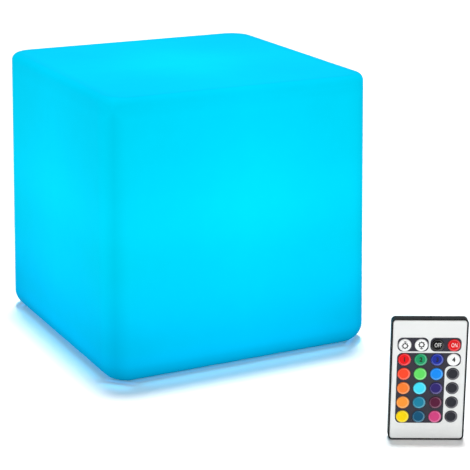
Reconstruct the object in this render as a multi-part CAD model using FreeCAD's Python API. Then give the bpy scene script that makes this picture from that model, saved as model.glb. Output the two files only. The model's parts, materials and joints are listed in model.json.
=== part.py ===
import FreeCAD, Part
import os
from math import cos, hypot, radians, sin, tan

# A cube light of translucent plastic with a sealed lamp module in its base, and the card remote that
# belongs to it. Millimetres. The origin is the centre of the cube's base, +Z is up, the cube's front
# faces -Y, and the remote stands on the same floor in front of the cube.

# Cube shell
BASE_WIDTH = 217.0          # side of the square at the floor, before its edges are rounded
TOP_WIDTH = 210.5           # side of the square at the top, before its edges are rounded
HEIGHT = 209.0
SHELL_WALL = 3.0
CORNER_R = 20.0             # upright corners, seen from above
BASE_EDGE_R = 14.0
TOP_EDGE_R = 5.5

# Clearances
SLIDE_FIT = 0.1             # radial, round a plunger, button or bung
LOOSE_FIT = 0.2             # round a screw, a nut or a cell
SEAT_GAP = 0.05             # round a thread or a moulded-in ring
SAME_HEIGHT = 0.001         # two heights that differ by less are the same

# Base recess and cover
COVER_LIFT = 12.0           # height of the cover's underside above the floor
COVER_THICK = 3.0
COVER_EDGE_R = 0.75
COVER_GAP = 0.6
GASKET_THICK = 1.5
LEDGE_WIDTH = 13.0          # of the shell's ledge that the cover is screwed to
MOUTH_GAP = 1.9             # between the dome and the shell's mouth
SPIGOT_WALL = 2.5
SPIGOT_HEIGHT = 6.0
SPIGOT_CLEAR = 1.2          # round the corners of what stands inside the spigot

# Fasteners of the cover and of the lamp board
SCREW_R = 1.5
SCREW_HEAD_R = 2.75
SCREW_HEAD_HEIGHT = 2.2
COVER_SCREW_LENGTH = 10.0
COVER_SCREWS = 4
INSERT_R = 2.3
INSERT_LENGTH = 6.0
INSERT_WELL = 1.0           # room above each insert for the end of its screw
INSERT_BOSS_R = 5.0

# Shares of a screw head's height or radius
HEAD_ROUNDING = 0.35
CROSS_DEPTH = 0.5
CROSS_HALF_LENGTH = 0.62
CROSS_HALF_WIDTH = 0.14

# Battery
CELL_R = 9.1
CELL_LENGTH = 65.0
CELL_BUTTON_R = 3.0
CELL_BUTTON_HEIGHT = 1.0
PAD_THICK = 0.8
PAD_END_INSET = 4.0
PAD_SIDE_INSET = 2.0
HOLDER_FLOOR = 2.0
HOLDER_WALL = 1.2
HOLDER_END_WALL = 1.8
HOLDER_SIDE_HEIGHT = 9.0
HOLDER_OFFSET = 6.5         # of the cell's axis behind the centre
CONTACT_THICK = 0.4
CONTACT_ROOM = 1.7          # between the cell's end and the holder's end wall
CONTACT_WIDTH = 10.0
CONTACT_STUD_R = 3.0
CONTACT_TAB_WIDTH = 4.0

# Control board
BOARD_WIDTH = 48.0
BOARD_DEPTH = 24.0
BOARD_THICK = 1.6
BOARD_GAP = 3.0             # between the board and the battery holder
BOARD_LIFT = 6.0            # above the cover
BOARD_POST_R = 2.5
BOARD_POST_INSET = 3.0
BOARD_SCREW_R = 1.1
BOARD_SCREW_LENGTH = 6.0
BOARD_SCREW_HEAD_R = 2.0
BOARD_SCREW_HEAD_HEIGHT = 1.5
CHIPS = ((-8.0, 6.0, 1.6), (2.0, 5.0, 1.4), (10.0, 4.0, 2.2))   # each one's middle, width and height
CHIP_DEPTH = 5.0
CHIP_INSET = 3.0            # from the board's front edge

# Power button and its switch
BUTTON_X = -14.0
BUTTON_R = 5.1
BUTTON_PROUD = 1.5
BUTTON_TRAVEL = 1.0
BUTTON_FLANGE_R = 6.5
BUTTON_FLANGE_THICK = 1.0
BUTTON_DIMPLE_R = 3.4
BUTTON_DIMPLE_DEPTH = 0.4
BUTTON_STUB_R = 1.6
BUTTON_EDGE_R = 0.5
SEAL_WIDTH = 1.5
SEAL_THICK = 1.6
SEAL_EDGE_R = 0.45
SWITCH_SIZE = 6.0
SWITCH_HEIGHT = 2.8
SWITCH_ROOF = 0.3           # of the switch above its plunger's well
SWITCH_PLUNGER_R = 1.7

# Charging inlet and its bung
SOCKET_X = 12.0
SOCKET_BORE_R = 2.75
SOCKET_BORE_DEPTH = 7.5
SOCKET_PIN_R = 1.05
SOCKET_PIN_INSET = 1.0      # of the pin's end inside the bore's mouth
SOCKET_BARREL_R = 4.9
SOCKET_FLANGE_R = 6.5
SOCKET_FLANGE_THICK = 1.5
SOCKET_EDGE_R = 0.4
SOCKET_LEG_WIDTH = 1.2
SOCKET_LEG_THICK = 0.4
SOCKET_CLEAR = 1.0          # between the barrel and the control board
NUT_R = 6.9                 # across the corners, halved
NUT_THICK = 2.5
BUNG_HEAD_R = 5.5
BUNG_HEAD_THICK = 1.5
BUNG_DEPTH = 6.0
BUNG_TAB = 5.0
BUNG_TAB_WIDTH = 6.0
BUNG_TAB_CORNER_R = 2.5
BUNG_TAB_STEP = 0.3         # of the tab below the head's upper face

# Lamp board and dome
LAMP_BOARD_THICK = 1.6
LAMP_BOARD_GAP = 2.8        # between the lamp board and the top of the cell
LAMP_BOARD_MARGIN = 2.5     # inside the spigot's bore
LAMP_POST_R = 2.8
LAMP_POSTS = 3
LAMP_POST_INSET = 1.0       # of each post inside the lamp board's edge
LAMP_SCREW_LENGTH = 8.0
PACKAGE_SIZE = 5.0
PACKAGE_HEIGHT = 1.5
PACKAGE_WELL_R = 1.8
PACKAGE_WELL_DEPTH = 0.4
PACKAGE_RINGS = ((26.0, 12), (13.0, 6))     # radius of each ring and its number of packages
RECEIVER_WIDTH = 6.0
RECEIVER_DEPTH = 5.0
RECEIVER_HEIGHT = 7.0
RECEIVER_LENS_R = 2.4
DOME_WALL = 2.0
DOME_FIT = 0.1
DOME_SIDE_ABOVE_BOARD = 5.0
DOME_RISE = 14.0
DOME_SEAL_R = 0.6
DOME_SEAL_HEIGHT = 3.0      # of the seal's middle above the cover

# Wires and connectors
WIRE_R = 0.6
WIRE_PITCH = 2.5
WIRE_BEND = 3.0
CONNECTOR_DEPTH = 5.0
CONNECTOR_HEIGHT = 5.0
CONNECTOR_GAP = 1.0
CONNECTOR_WALL = 1.0
BATTERY_WIRE_COUNT = 2
LAMP_WIRE_COUNT = 4
LEAD_ROOF_GAP = 1.2         # of the battery's wires below the lamp board
LEAD_BRIDGE_GAP = 1.5       # of their crossing in front of the battery holder

# Remote control, standing on its lower edge
REMOTE_X = 46.0
REMOTE_Y = -277.7
REMOTE_TURN = -27.0         # degrees about +Z from facing the same way as the cube's front
REMOTE_WIDTH = 50.0
REMOTE_HEIGHT = 85.0
REMOTE_CORNER_R = 3.0
REMOTE_INNER_R = 0.5        # least corner radius inside the case
REMOTE_EDGE_R = 0.5
REMOTE_RIM = 0.9
REMOTE_BACK_WALL = 1.0
REMOTE_LEDGE = 1.5
PLATE_THICK = 1.1
PLATE_PROUD = 0.1
PLATE_CHAMFER = 0.4
PLATE_FIT = 0.1
LABEL_THICK = 0.15
LABEL_CORNER_R = 3.4
LABEL_MARGIN = 0.65
LABEL_MARGIN_UP = 0.4
LABEL_TOP_MARGIN = 0.95
LABEL_SPLIT = 1.1
MAT_THICK = 0.8
MAT_MARGIN = 0.6
REMOTE_BOARD_THICK = 0.7
REMOTE_CHIP_R = 4.0
REMOTE_CHIP_EDGE_R = 0.8
REMOTE_CHIP_HEIGHT = 1.2
REMOTE_CHIP_DROP = 28.9     # of the chip's middle below the upper edge

# Keys of the remote
KEY_R = 4.15
KEY_LIP = 0.3
KEY_GAP = 0.15
KEY_PROUD = 0.6
KEY_EDGE_R = 0.35
KEY_FLANGE_THICK = 0.4
KEY_WEB = 0.85              # least width of the mat between two keys
KEY_SPREAD = 0.65           # how much further apart the columns stand than the rows
KEY_FIRST_ROW = 24.55       # height of the first row above the middle of the remote
KEY_ROWS = (
    ("brighter", "dimmer", "off", "on"),
    ("red", "green", "blue", "white"),
    ("vermilion", "light_green", "sky_blue", "flash"),
    ("orange", "cyan", "violet", "strobe"),
    ("amber", "teal", "purple", "fade"),
    ("yellow", "dark_teal", "pink", "smooth"),
)

# Battery tray of the remote
COIN_R = 10.0
COIN_THICK = 2.5
COIN_LID_R = 8.8
COIN_LID_HEIGHT = 0.4
TRAY_EXTRA = 0.2            # of the tray's thickness over the cell's
TRAY_CORNER_R = 1.0
TRAY_SIDE = 1.9
TRAY_GAP = 0.1
TRAY_CLEAR = 0.2
TRAY_LIFT = 0.2             # of the tray's end above the remote's lower edge
TRAY_END = 3.8              # from the tray's outer end to the cell
TRAY_SLOT = 6.4
GRIP_GROOVES = 3
GRIP_FIRST = 0.6            # from the tray's outer end to its first groove
GRIP_PITCH = 0.7
GRIP_WIDTH = 0.3
GRIP_DEPTH = 0.3
GRIP_HALF_LENGTH = 5.0
RAIL_WIDTH = 1.0
RAIL_EXTRA = 1.0            # of the rails beyond the tray
SPRING_THICK = 0.15
SPRING_WIDTH = 4.0
SPRING_HALF_LENGTH = 6.0
SPRING_FOOT_GAP = 0.4       # between the upright spring and the back wall

# Infrared lamp of the remote
EMITTER_R = 1.35
EMITTER_LENGTH = 5.0
EMITTER_GAP = 0.1
EMITTER_INSET = 0.05        # of its nose below the upper edge
EMITTER_LEG_HALF_WIDTH = 0.8
EMITTER_LEG_LENGTH = 1.5
EMITTER_LEG_SINK = 0.5
EMITTER_LEG_STEP = 0.3

# Heights and radii that follow from the sizes above
cover_top = COVER_LIFT + COVER_THICK
recess_top = cover_top + GASKET_THICK
ledge_top = recess_top + SHELL_WALL
pad_top = cover_top + PAD_THICK
cell_z = pad_top + HOLDER_FLOOR + LOOSE_FIT + CELL_R
holder_half_length = CELL_LENGTH / 2 + CONTACT_ROOM + HOLDER_END_WALL
holder_half_width = CELL_R + LOOSE_FIT + HOLDER_WALL
holder_top = cell_z + HOLDER_SIDE_HEIGHT
board_back_y = HOLDER_OFFSET - holder_half_width - BOARD_GAP
board_front_y = board_back_y - BOARD_DEPTH
board_mid_y = (board_back_y + board_front_y) / 2
board_under = cover_top + BOARD_LIFT
board_top = board_under + BOARD_THICK
spigot_in_r = SPIGOT_CLEAR + max(
    hypot(holder_half_length, HOLDER_OFFSET + holder_half_width),
    hypot(BOARD_WIDTH / 2, board_front_y),
)
spigot_r = spigot_in_r + SPIGOT_WALL
dome_in_r = spigot_r + DOME_FIT
dome_r = dome_in_r + DOME_WALL
mouth_r = dome_r + MOUTH_GAP
recess_r = mouth_r + LEDGE_WIDTH
cover_r = recess_r - COVER_GAP
screw_circle_r = mouth_r + LEDGE_WIDTH / 2
lamp_board_r = spigot_in_r - LAMP_BOARD_MARGIN
lamp_post_circle_r = lamp_board_r - LAMP_POST_R - LAMP_POST_INSET
lamp_board_under = cell_z + CELL_R + LAMP_BOARD_GAP
lamp_board_top = lamp_board_under + LAMP_BOARD_THICK
connector_top = board_top + CONNECTOR_HEIGHT
connector_y = board_mid_y + BOARD_DEPTH / 4

tray_thick = COIN_THICK + TRAY_EXTRA
remote_board_back = REMOTE_BACK_WALL + tray_thick + TRAY_CLEAR
mat_back = remote_board_back + REMOTE_BOARD_THICK
plate_back = mat_back + MAT_THICK
plate_front = plate_back + PLATE_THICK
remote_thick = plate_front - PLATE_PROUD
key_flange_r = KEY_R + KEY_LIP
key_hole_r = KEY_R + KEY_GAP
mat_hole_r = key_flange_r + KEY_GAP
key_pitch_v = 2 * mat_hole_r + KEY_WEB
key_pitch_u = key_pitch_v + KEY_SPREAD
tray_half_width = COIN_R + TRAY_GAP + TRAY_SIDE
tray_end = TRAY_LIFT + TRAY_END + 2 * COIN_R + TRAY_GAP + TRAY_SIDE
coin_v = TRAY_LIFT + TRAY_END + COIN_R

CENTRE = FreeCAD.Vector(0, 0, 0)
UP = FreeCAD.Vector(0, 0, 1)


def box(x_low, x_high, y_low, y_high, z_low, z_high):
    corner = FreeCAD.Vector(x_low, y_low, z_low)
    return Part.makeBox(x_high - x_low, y_high - y_low, z_high - z_low, corner)


def disc(x, y, z_low, z_high, radius):
    return Part.makeCylinder(radius, z_high - z_low, FreeCAD.Vector(x, y, z_low))


def ring(x, y, z_low, z_high, outer_r, inner_r):
    return disc(x, y, z_low, z_high, outer_r).cut(disc(x, y, z_low, z_high, inner_r))


def around(count, radius, first_angle):
    """Places evenly spaced round the Z axis."""
    angles = [radians(first_angle + 360.0 * i / count) for i in range(count)]
    return [(radius * cos(a), radius * sin(a)) for a in angles]


def rounded_wire(x_low, x_high, y_low, y_high, z, radius):
    """A rectangle with four round corners, as four lines and four arcs."""
    edges = []
    corners = (
        (x_high - radius, y_high - radius, 0),
        (x_low + radius, y_high - radius, 90),
        (x_low + radius, y_low + radius, 180),
        (x_high - radius, y_low + radius, 270),
    )
    arcs = []
    for x, y, start in corners:
        points = []
        for turn in (0, 45, 90):
            a = radians(start + turn)
            points.append(FreeCAD.Vector(x + radius * cos(a), y + radius * sin(a), z))
        arcs.append(points)
    for i, points in enumerate(arcs):
        following = arcs[(i + 1) % len(arcs)]
        edges.append(Part.Arc(*points).toShape())
        edges.append(Part.LineSegment(points[2], following[0]).toShape())
    return Part.Wire(edges)


def rounded_plate(x_low, x_high, y_low, y_high, z_low, z_high, radius):
    wire = rounded_wire(x_low, x_high, y_low, y_high, z_low, radius)
    return Part.Face(wire).extrude(UP * (z_high - z_low))


def edges_at(shape, z):
    """The edges that lie wholly at one height."""
    def lies_there(edge):
        ends = edge.BoundBox
        return abs(ends.ZMin - z) < SAME_HEIGHT and abs(ends.ZMax - z) < SAME_HEIGHT

    return [edge for edge in shape.Edges if lies_there(edge)]


def screw(x, y, seat_z, length, shank_r, head_r, head_height, upward):
    """A pan-head screw with a cross recess; its head lies below the seat when it points upward."""
    way = 1 if upward else -1
    low, high = sorted((seat_z, seat_z + way * length))
    shank = disc(x, y, low, high, shank_r)
    low, high = sorted((seat_z, seat_z - way * head_height))
    head = disc(x, y, low, high, head_r)
    outer_z = low if upward else high
    head = head.makeFillet(HEAD_ROUNDING * head_height, edges_at(head, outer_z))
    slot_half_width = CROSS_HALF_WIDTH * head_r
    slot_half_length = CROSS_HALF_LENGTH * head_r
    slot_depth = CROSS_DEPTH * head_height
    low, high = sorted((outer_z, outer_z + way * slot_depth))
    body = shank.fuse(head)
    for half_x, half_y in ((slot_half_length, slot_half_width), (slot_half_width, slot_half_length)):
        body = body.cut(box(x - half_x, x + half_x, y - half_y, y + half_y, low, high))
    return body.removeSplitter()


def wire_run(points, radius, bend):
    """One round wire along straight runs joined by tangent arcs."""
    points = [FreeCAD.Vector(*p) for p in points]
    edges = []
    start = points[0]
    for i in range(1, len(points) - 1):
        corner = points[i]
        back = (points[i - 1] - corner).normalize()
        ahead = (points[i + 1] - corner).normalize()
        half_turn = (radians(180) - back.getAngle(ahead)) / 2
        reach = bend * tan(half_turn)
        inward = (back + ahead).normalize()
        into_arc = corner + back * reach
        out_of_arc = corner + ahead * reach
        middle = corner + inward * (bend / cos(half_turn) - bend)
        edges.append(Part.LineSegment(start, into_arc).toShape())
        edges.append(Part.Arc(into_arc, middle, out_of_arc).toShape())
        start = out_of_arc
    edges.append(Part.LineSegment(start, points[-1]).toShape())
    first_run = (points[1] - points[0]).normalize()
    section = Part.Wire([Part.Circle(points[0], first_run, radius).toShape()])
    return Part.Wire(edges).makePipeShell([section], True, False)


# Cube shell and its base

def tapered_block(inset):
    """The cube's outer form, or the same form drawn in by an inset."""
    low, high = inset, HEIGHT - inset
    wires = []
    for z in (low, high):
        half = (BASE_WIDTH + (TOP_WIDTH - BASE_WIDTH) * z / HEIGHT) / 2 - inset
        wires.append(rounded_wire(-half, half, -half, half, z, CORNER_R - inset))
    block = Part.makeLoft(wires, True, True)
    block = block.makeFillet(BASE_EDGE_R - inset, edges_at(block, low))
    return block.makeFillet(TOP_EDGE_R - inset, edges_at(block, high))


def cube_shell():
    shell = tapered_block(0).cut(tapered_block(SHELL_WALL))
    shell = shell.fuse(disc(0, 0, 0, ledge_top, recess_r + SHELL_WALL))
    boss_top = recess_top + INSERT_LENGTH + SHELL_WALL
    for x, y in around(COVER_SCREWS, screw_circle_r, 45):
        shell = shell.fuse(disc(x, y, recess_top, boss_top, INSERT_BOSS_R))
    shell = shell.cut(disc(0, 0, 0, recess_top, recess_r))
    shell = shell.cut(disc(0, 0, 0, ledge_top, mouth_r))
    well_top = recess_top + INSERT_LENGTH + INSERT_WELL
    for x, y in around(COVER_SCREWS, screw_circle_r, 45):
        shell = shell.cut(disc(x, y, recess_top, well_top, INSERT_R + SEAT_GAP))
    return shell.removeSplitter()


def screw_inserts():
    places = around(COVER_SCREWS, screw_circle_r, 45)
    top = recess_top + INSERT_LENGTH
    return Part.makeCompound([ring(x, y, recess_top, top, INSERT_R, SCREW_R + SEAT_GAP) for x, y in places])


def base_gasket():
    gasket = ring(0, 0, cover_top, recess_top, cover_r, mouth_r)
    for x, y in around(COVER_SCREWS, screw_circle_r, 45):
        gasket = gasket.cut(disc(x, y, cover_top, recess_top, INSERT_R))
    return gasket


def board_corners():
    x = BOARD_WIDTH / 2 - BOARD_POST_INSET
    y_front = board_front_y + BOARD_POST_INSET
    y_back = board_back_y - BOARD_POST_INSET
    return [(-x, y_front), (x, y_front), (-x, y_back), (x, y_back)]


def lamp_post_places():
    return around(LAMP_POSTS, lamp_post_circle_r, 90)


def base_cover():
    cover = disc(0, 0, COVER_LIFT, cover_top, cover_r)
    cover = cover.makeFillet(COVER_EDGE_R, edges_at(cover, COVER_LIFT))
    root = COVER_LIFT + COVER_THICK / 2
    cover = cover.fuse(ring(0, 0, root, cover_top + SPIGOT_HEIGHT, spigot_r, spigot_in_r))
    for x, y in board_corners():
        cover = cover.fuse(disc(x, y, root, board_under, BOARD_POST_R))
    for x, y in lamp_post_places():
        cover = cover.fuse(disc(x, y, root, lamp_board_under, LAMP_POST_R))
    for x, y in around(COVER_SCREWS, screw_circle_r, 45):
        cover = cover.cut(disc(x, y, COVER_LIFT, cover_top, SCREW_R + LOOSE_FIT))
    for x, y in board_corners():
        bottom = board_under - BOARD_SCREW_LENGTH + BOARD_THICK
        cover = cover.cut(disc(x, y, bottom, board_under, BOARD_SCREW_R + SEAT_GAP))
    for x, y in lamp_post_places():
        bottom = lamp_board_under - LAMP_SCREW_LENGTH + LAMP_BOARD_THICK
        cover = cover.cut(disc(x, y, bottom, lamp_board_under, SCREW_R + SEAT_GAP))
    groove_z = cover_top + DOME_SEAL_HEIGHT
    groove = ring(
        0, 0, groove_z - DOME_SEAL_R - SEAT_GAP, groove_z + DOME_SEAL_R + SEAT_GAP,
        dome_in_r, dome_in_r - 2 * DOME_SEAL_R - 2 * SEAT_GAP,
    )
    cover = cover.cut(groove)
    cover = cover.cut(disc(BUTTON_X, board_mid_y, COVER_LIFT, cover_top, BUTTON_R + SLIDE_FIT))
    seal_low, seal_high = button_seal_heights()
    cover = cover.cut(
        disc(
            BUTTON_X, board_mid_y, seal_low - SEAT_GAP, seal_high + SEAT_GAP,
            BUTTON_R + SLIDE_FIT + SEAL_WIDTH + SEAT_GAP,
        )
    )
    return cover.cut(disc(SOCKET_X, board_mid_y, COVER_LIFT, cover_top, SOCKET_BARREL_R + SEAT_GAP))


def base_screws():
    places = around(COVER_SCREWS, screw_circle_r, 45)
    return Part.makeCompound([
        screw(x, y, COVER_LIFT, COVER_SCREW_LENGTH, SCREW_R, SCREW_HEAD_R, SCREW_HEAD_HEIGHT, True)
        for x, y in places
    ])


# Power button and charging inlet

def button_seal_heights():
    middle = COVER_LIFT + COVER_THICK / 2
    return middle - SEAL_THICK / 2, middle + SEAL_THICK / 2


def power_button():
    low = COVER_LIFT - BUTTON_PROUD
    button = disc(BUTTON_X, board_mid_y, low, cover_top, BUTTON_R)
    button = button.makeFillet(BUTTON_EDGE_R, edges_at(button, low))
    flange_top = cover_top + BUTTON_FLANGE_THICK
    button = button.fuse(disc(BUTTON_X, board_mid_y, cover_top, flange_top, BUTTON_FLANGE_R))
    button = button.fuse(disc(BUTTON_X, board_mid_y, cover_top, plunger_low(), BUTTON_STUB_R))
    return button.cut(disc(BUTTON_X, board_mid_y, low, low + BUTTON_DIMPLE_DEPTH, BUTTON_DIMPLE_R))


def plunger_low():
    return board_under - SWITCH_HEIGHT - BUTTON_TRAVEL - LOOSE_FIT


def button_seal():
    low, high = button_seal_heights()
    inner = BUTTON_R + SLIDE_FIT
    seal = ring(BUTTON_X, board_mid_y, low, high, inner + SEAL_WIDTH, inner)
    return seal.makeFillet(SEAL_EDGE_R, edges_at(seal, low) + edges_at(seal, high))


def tact_switch():
    half = SWITCH_SIZE / 2
    low = board_under - SWITCH_HEIGHT
    body = box(BUTTON_X - half, BUTTON_X + half, board_mid_y - half, board_mid_y + half, low, board_under)
    well_top = board_under - SWITCH_ROOF
    return body.cut(disc(BUTTON_X, board_mid_y, low, well_top, SWITCH_PLUNGER_R + SLIDE_FIT))


def switch_plunger():
    top = board_under - SWITCH_ROOF - BUTTON_TRAVEL - LOOSE_FIT
    return disc(BUTTON_X, board_mid_y, plunger_low(), top, SWITCH_PLUNGER_R)


def charge_socket():
    low = COVER_LIFT - SOCKET_FLANGE_THICK
    top = board_under - SOCKET_CLEAR
    socket = disc(SOCKET_X, board_mid_y, low, COVER_LIFT, SOCKET_FLANGE_R)
    socket = socket.makeFillet(SOCKET_EDGE_R, edges_at(socket, low))
    socket = socket.fuse(disc(SOCKET_X, board_mid_y, COVER_LIFT, top, SOCKET_BARREL_R))
    socket = socket.cut(disc(SOCKET_X, board_mid_y, low, low + SOCKET_BORE_DEPTH, SOCKET_BORE_R))
    pin = disc(SOCKET_X, board_mid_y, low + SOCKET_PIN_INSET, low + SOCKET_BORE_DEPTH, SOCKET_PIN_R)
    socket = socket.fuse(pin)
    half_x = SOCKET_LEG_WIDTH / 2
    half_y = SOCKET_LEG_THICK / 2
    for x in (SOCKET_X - SOCKET_BORE_R, SOCKET_X + SOCKET_BORE_R):
        leg = box(x - half_x, x + half_x, board_mid_y - half_y, board_mid_y + half_y, top, board_under)
        socket = socket.fuse(leg)
    return socket


def socket_nut():
    corners = [
        FreeCAD.Vector(SOCKET_X + x, board_mid_y + y, cover_top) for x, y in around(6, NUT_R, 0)
    ]
    nut = Part.Face(Part.makePolygon(corners + corners[:1])).extrude(UP * NUT_THICK)
    return nut.cut(disc(SOCKET_X, board_mid_y, cover_top, cover_top + NUT_THICK, SOCKET_BARREL_R + SEAT_GAP))


def port_plug():
    mouth = COVER_LIFT - SOCKET_FLANGE_THICK
    low = mouth - BUNG_HEAD_THICK
    bung = disc(SOCKET_X, board_mid_y, low, mouth, BUNG_HEAD_R)
    tab_x = SOCKET_X + BUNG_HEAD_R + BUNG_TAB
    half = BUNG_TAB_WIDTH / 2
    tab = rounded_plate(
        SOCKET_X, tab_x, board_mid_y - half, board_mid_y + half,
        low, mouth - BUNG_TAB_STEP, BUNG_TAB_CORNER_R,
    )
    bung = bung.fuse(tab)
    nose = ring(
        SOCKET_X, board_mid_y, mouth, mouth + BUNG_DEPTH,
        SOCKET_BORE_R - SLIDE_FIT, SOCKET_PIN_R + SLIDE_FIT,
    )
    return bung.fuse(nose).removeSplitter()


# Battery, boards, dome and wires

def battery_pad():
    half_x = holder_half_length - PAD_END_INSET
    half_y = holder_half_width - PAD_SIDE_INSET
    return box(-half_x, half_x, HOLDER_OFFSET - half_y, HOLDER_OFFSET + half_y, cover_top, pad_top)


def battery_holder():
    y_low = HOLDER_OFFSET - holder_half_width
    y_high = HOLDER_OFFSET + holder_half_width
    holder = box(-holder_half_length, holder_half_length, y_low, y_high, pad_top, holder_top)
    inside_x = holder_half_length - HOLDER_END_WALL
    floor = pad_top + HOLDER_FLOOR
    holder = holder.cut(
        box(-inside_x, inside_x, y_low + HOLDER_WALL, y_high - HOLDER_WALL, floor, holder_top)
    )
    window = inside_x - CELL_R
    return holder.cut(box(-window, window, y_low, y_high, cell_z, holder_top))


def battery_cell():
    start = FreeCAD.Vector(-CELL_LENGTH / 2, HOLDER_OFFSET, cell_z)
    along = FreeCAD.Vector(1, 0, 0)
    can = Part.makeCylinder(CELL_R, CELL_LENGTH - CELL_BUTTON_HEIGHT, start, along)
    button = Part.makeCylinder(CELL_BUTTON_R, CELL_LENGTH, start, along)
    return can.fuse(button)


def battery_contacts():
    contacts = []
    for side in (-1, 1):
        wall_x = side * (holder_half_length - HOLDER_END_WALL)
        plate_x = wall_x - side * CONTACT_THICK
        low, high = sorted((wall_x, plate_x))
        half = CONTACT_WIDTH / 2
        floor = pad_top + HOLDER_FLOOR
        contact = box(low, high, HOLDER_OFFSET - half, HOLDER_OFFSET + half, floor, holder_top)
        reach = CONTACT_ROOM - CONTACT_THICK
        start = FreeCAD.Vector(plate_x, HOLDER_OFFSET, cell_z)
        stud = Part.makeCylinder(CONTACT_STUD_R, reach, start, FreeCAD.Vector(-side, 0, 0))
        low, high = sorted((plate_x, side * holder_half_length))
        half = CONTACT_TAB_WIDTH / 2
        tab_top = holder_top + CONTACT_THICK
        tab = box(low, high, HOLDER_OFFSET - half, HOLDER_OFFSET + half, holder_top, tab_top)
        contacts.append(contact.fuse([stud, tab]).removeSplitter())
    return Part.makeCompound(contacts)


def control_board():
    half = BOARD_WIDTH / 2
    board = box(-half, half, board_front_y, board_back_y, board_under, board_top)
    for x, y in board_corners():
        board = board.cut(disc(x, y, board_under, board_top, BOARD_SCREW_R + LOOSE_FIT))
    chip_y = board_front_y + CHIP_INSET
    for x, width, height in CHIPS:
        chip = box(x - width / 2, x + width / 2, chip_y, chip_y + CHIP_DEPTH, board_top, board_top + height)
        board = board.fuse(chip)
    return board.removeSplitter()


def board_screws():
    return Part.makeCompound([
        screw(
            x, y, board_top, BOARD_SCREW_LENGTH, BOARD_SCREW_R,
            BOARD_SCREW_HEAD_R, BOARD_SCREW_HEAD_HEIGHT, False,
        )
        for x, y in board_corners()
    ])


def connector_half_width(wires):
    return wires * WIRE_PITCH / 2 + CONNECTOR_WALL


def connector_places():
    """Middle and wire count of the battery's connector and of the lamp's, clear of the board's screws."""
    edge = BOARD_WIDTH / 2 - BOARD_POST_INSET - BOARD_SCREW_HEAD_R - CONNECTOR_GAP
    return (
        (edge - connector_half_width(BATTERY_WIRE_COUNT), BATTERY_WIRE_COUNT),
        (connector_half_width(LAMP_WIRE_COUNT) - edge, LAMP_WIRE_COUNT),
    )


def lead_connectors():
    housings = []
    for x, wires in connector_places():
        half = connector_half_width(wires)
        y_low = connector_y - CONNECTOR_DEPTH / 2
        housings.append(box(x - half, x + half, y_low, y_low + CONNECTOR_DEPTH, board_top, connector_top))
    return Part.makeCompound(housings)


def wire_places(x, wires):
    return [x + (i - (wires - 1) / 2) * WIRE_PITCH for i in range(wires)]


def battery_lead():
    """From each contact's tab up, across to the board and down into its connector."""
    start_x = holder_half_length - HOLDER_END_WALL / 2
    start_z = holder_top + CONTACT_THICK
    x, wires = connector_places()[0]
    left_x, right_x = wire_places(x, wires)
    over_z = lamp_board_under - WIRE_R - LEAD_ROOF_GAP
    bend = min(WIRE_BEND, 0.8 * (over_z - start_z))
    runs = []
    bridge_y = HOLDER_OFFSET - holder_half_width - LEAD_BRIDGE_GAP
    for side, end_x in ((-1, left_x), (1, right_x)):
        route = (
            (side * start_x, HOLDER_OFFSET, start_z),
            (side * start_x, HOLDER_OFFSET, over_z),
            (side * start_x, bridge_y, over_z),
            (end_x, connector_y, over_z),
            (end_x, connector_y, connector_top),
        )
        runs.append(wire_run(route, WIRE_R, bend))
    return Part.makeCompound(runs)


def led_lead():
    """From the connector up, forward and up again to the lamp board's underside."""
    x, wires = connector_places()[1]
    rise = lamp_board_under - connector_top
    forward_y = connector_y - rise / 2
    runs = []
    for wire_x in wire_places(x, wires):
        route = (
            (wire_x, connector_y, connector_top),
            (wire_x, connector_y, connector_top + rise / 4),
            (wire_x, forward_y, connector_top + 3 * rise / 4),
            (wire_x, forward_y, lamp_board_under),
        )
        runs.append(wire_run(route, WIRE_R, rise / 5))
    return Part.makeCompound(runs)


def led_board():
    board = disc(0, 0, lamp_board_under, lamp_board_top, lamp_board_r)
    for x, y in lamp_post_places():
        board = board.cut(disc(x, y, lamp_board_under, lamp_board_top, SCREW_R + LOOSE_FIT))
    return board


def led_board_screws():
    return Part.makeCompound([
        screw(x, y, lamp_board_top, LAMP_SCREW_LENGTH, SCREW_R, SCREW_HEAD_R, SCREW_HEAD_HEIGHT, False)
        for x, y in lamp_post_places()
    ])


def led_packages():
    half = PACKAGE_SIZE / 2
    packages = []
    for radius, count in PACKAGE_RINGS:
        for x, y in around(count, radius, 0):
            top = lamp_board_top + PACKAGE_HEIGHT
            package = box(x - half, x + half, y - half, y + half, lamp_board_top, top)
            packages.append(package.cut(disc(x, y, top - PACKAGE_WELL_DEPTH, top, PACKAGE_WELL_R)))
    return Part.makeCompound(packages)


def ir_receiver():
    half = RECEIVER_WIDTH / 2
    back = RECEIVER_DEPTH / 2
    body = box(-half, half, -back, back, lamp_board_top, lamp_board_top + RECEIVER_HEIGHT)
    lens = Part.makeSphere(RECEIVER_LENS_R, FreeCAD.Vector(0, 0, lamp_board_top + RECEIVER_HEIGHT))
    return body.fuse(lens)


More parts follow.
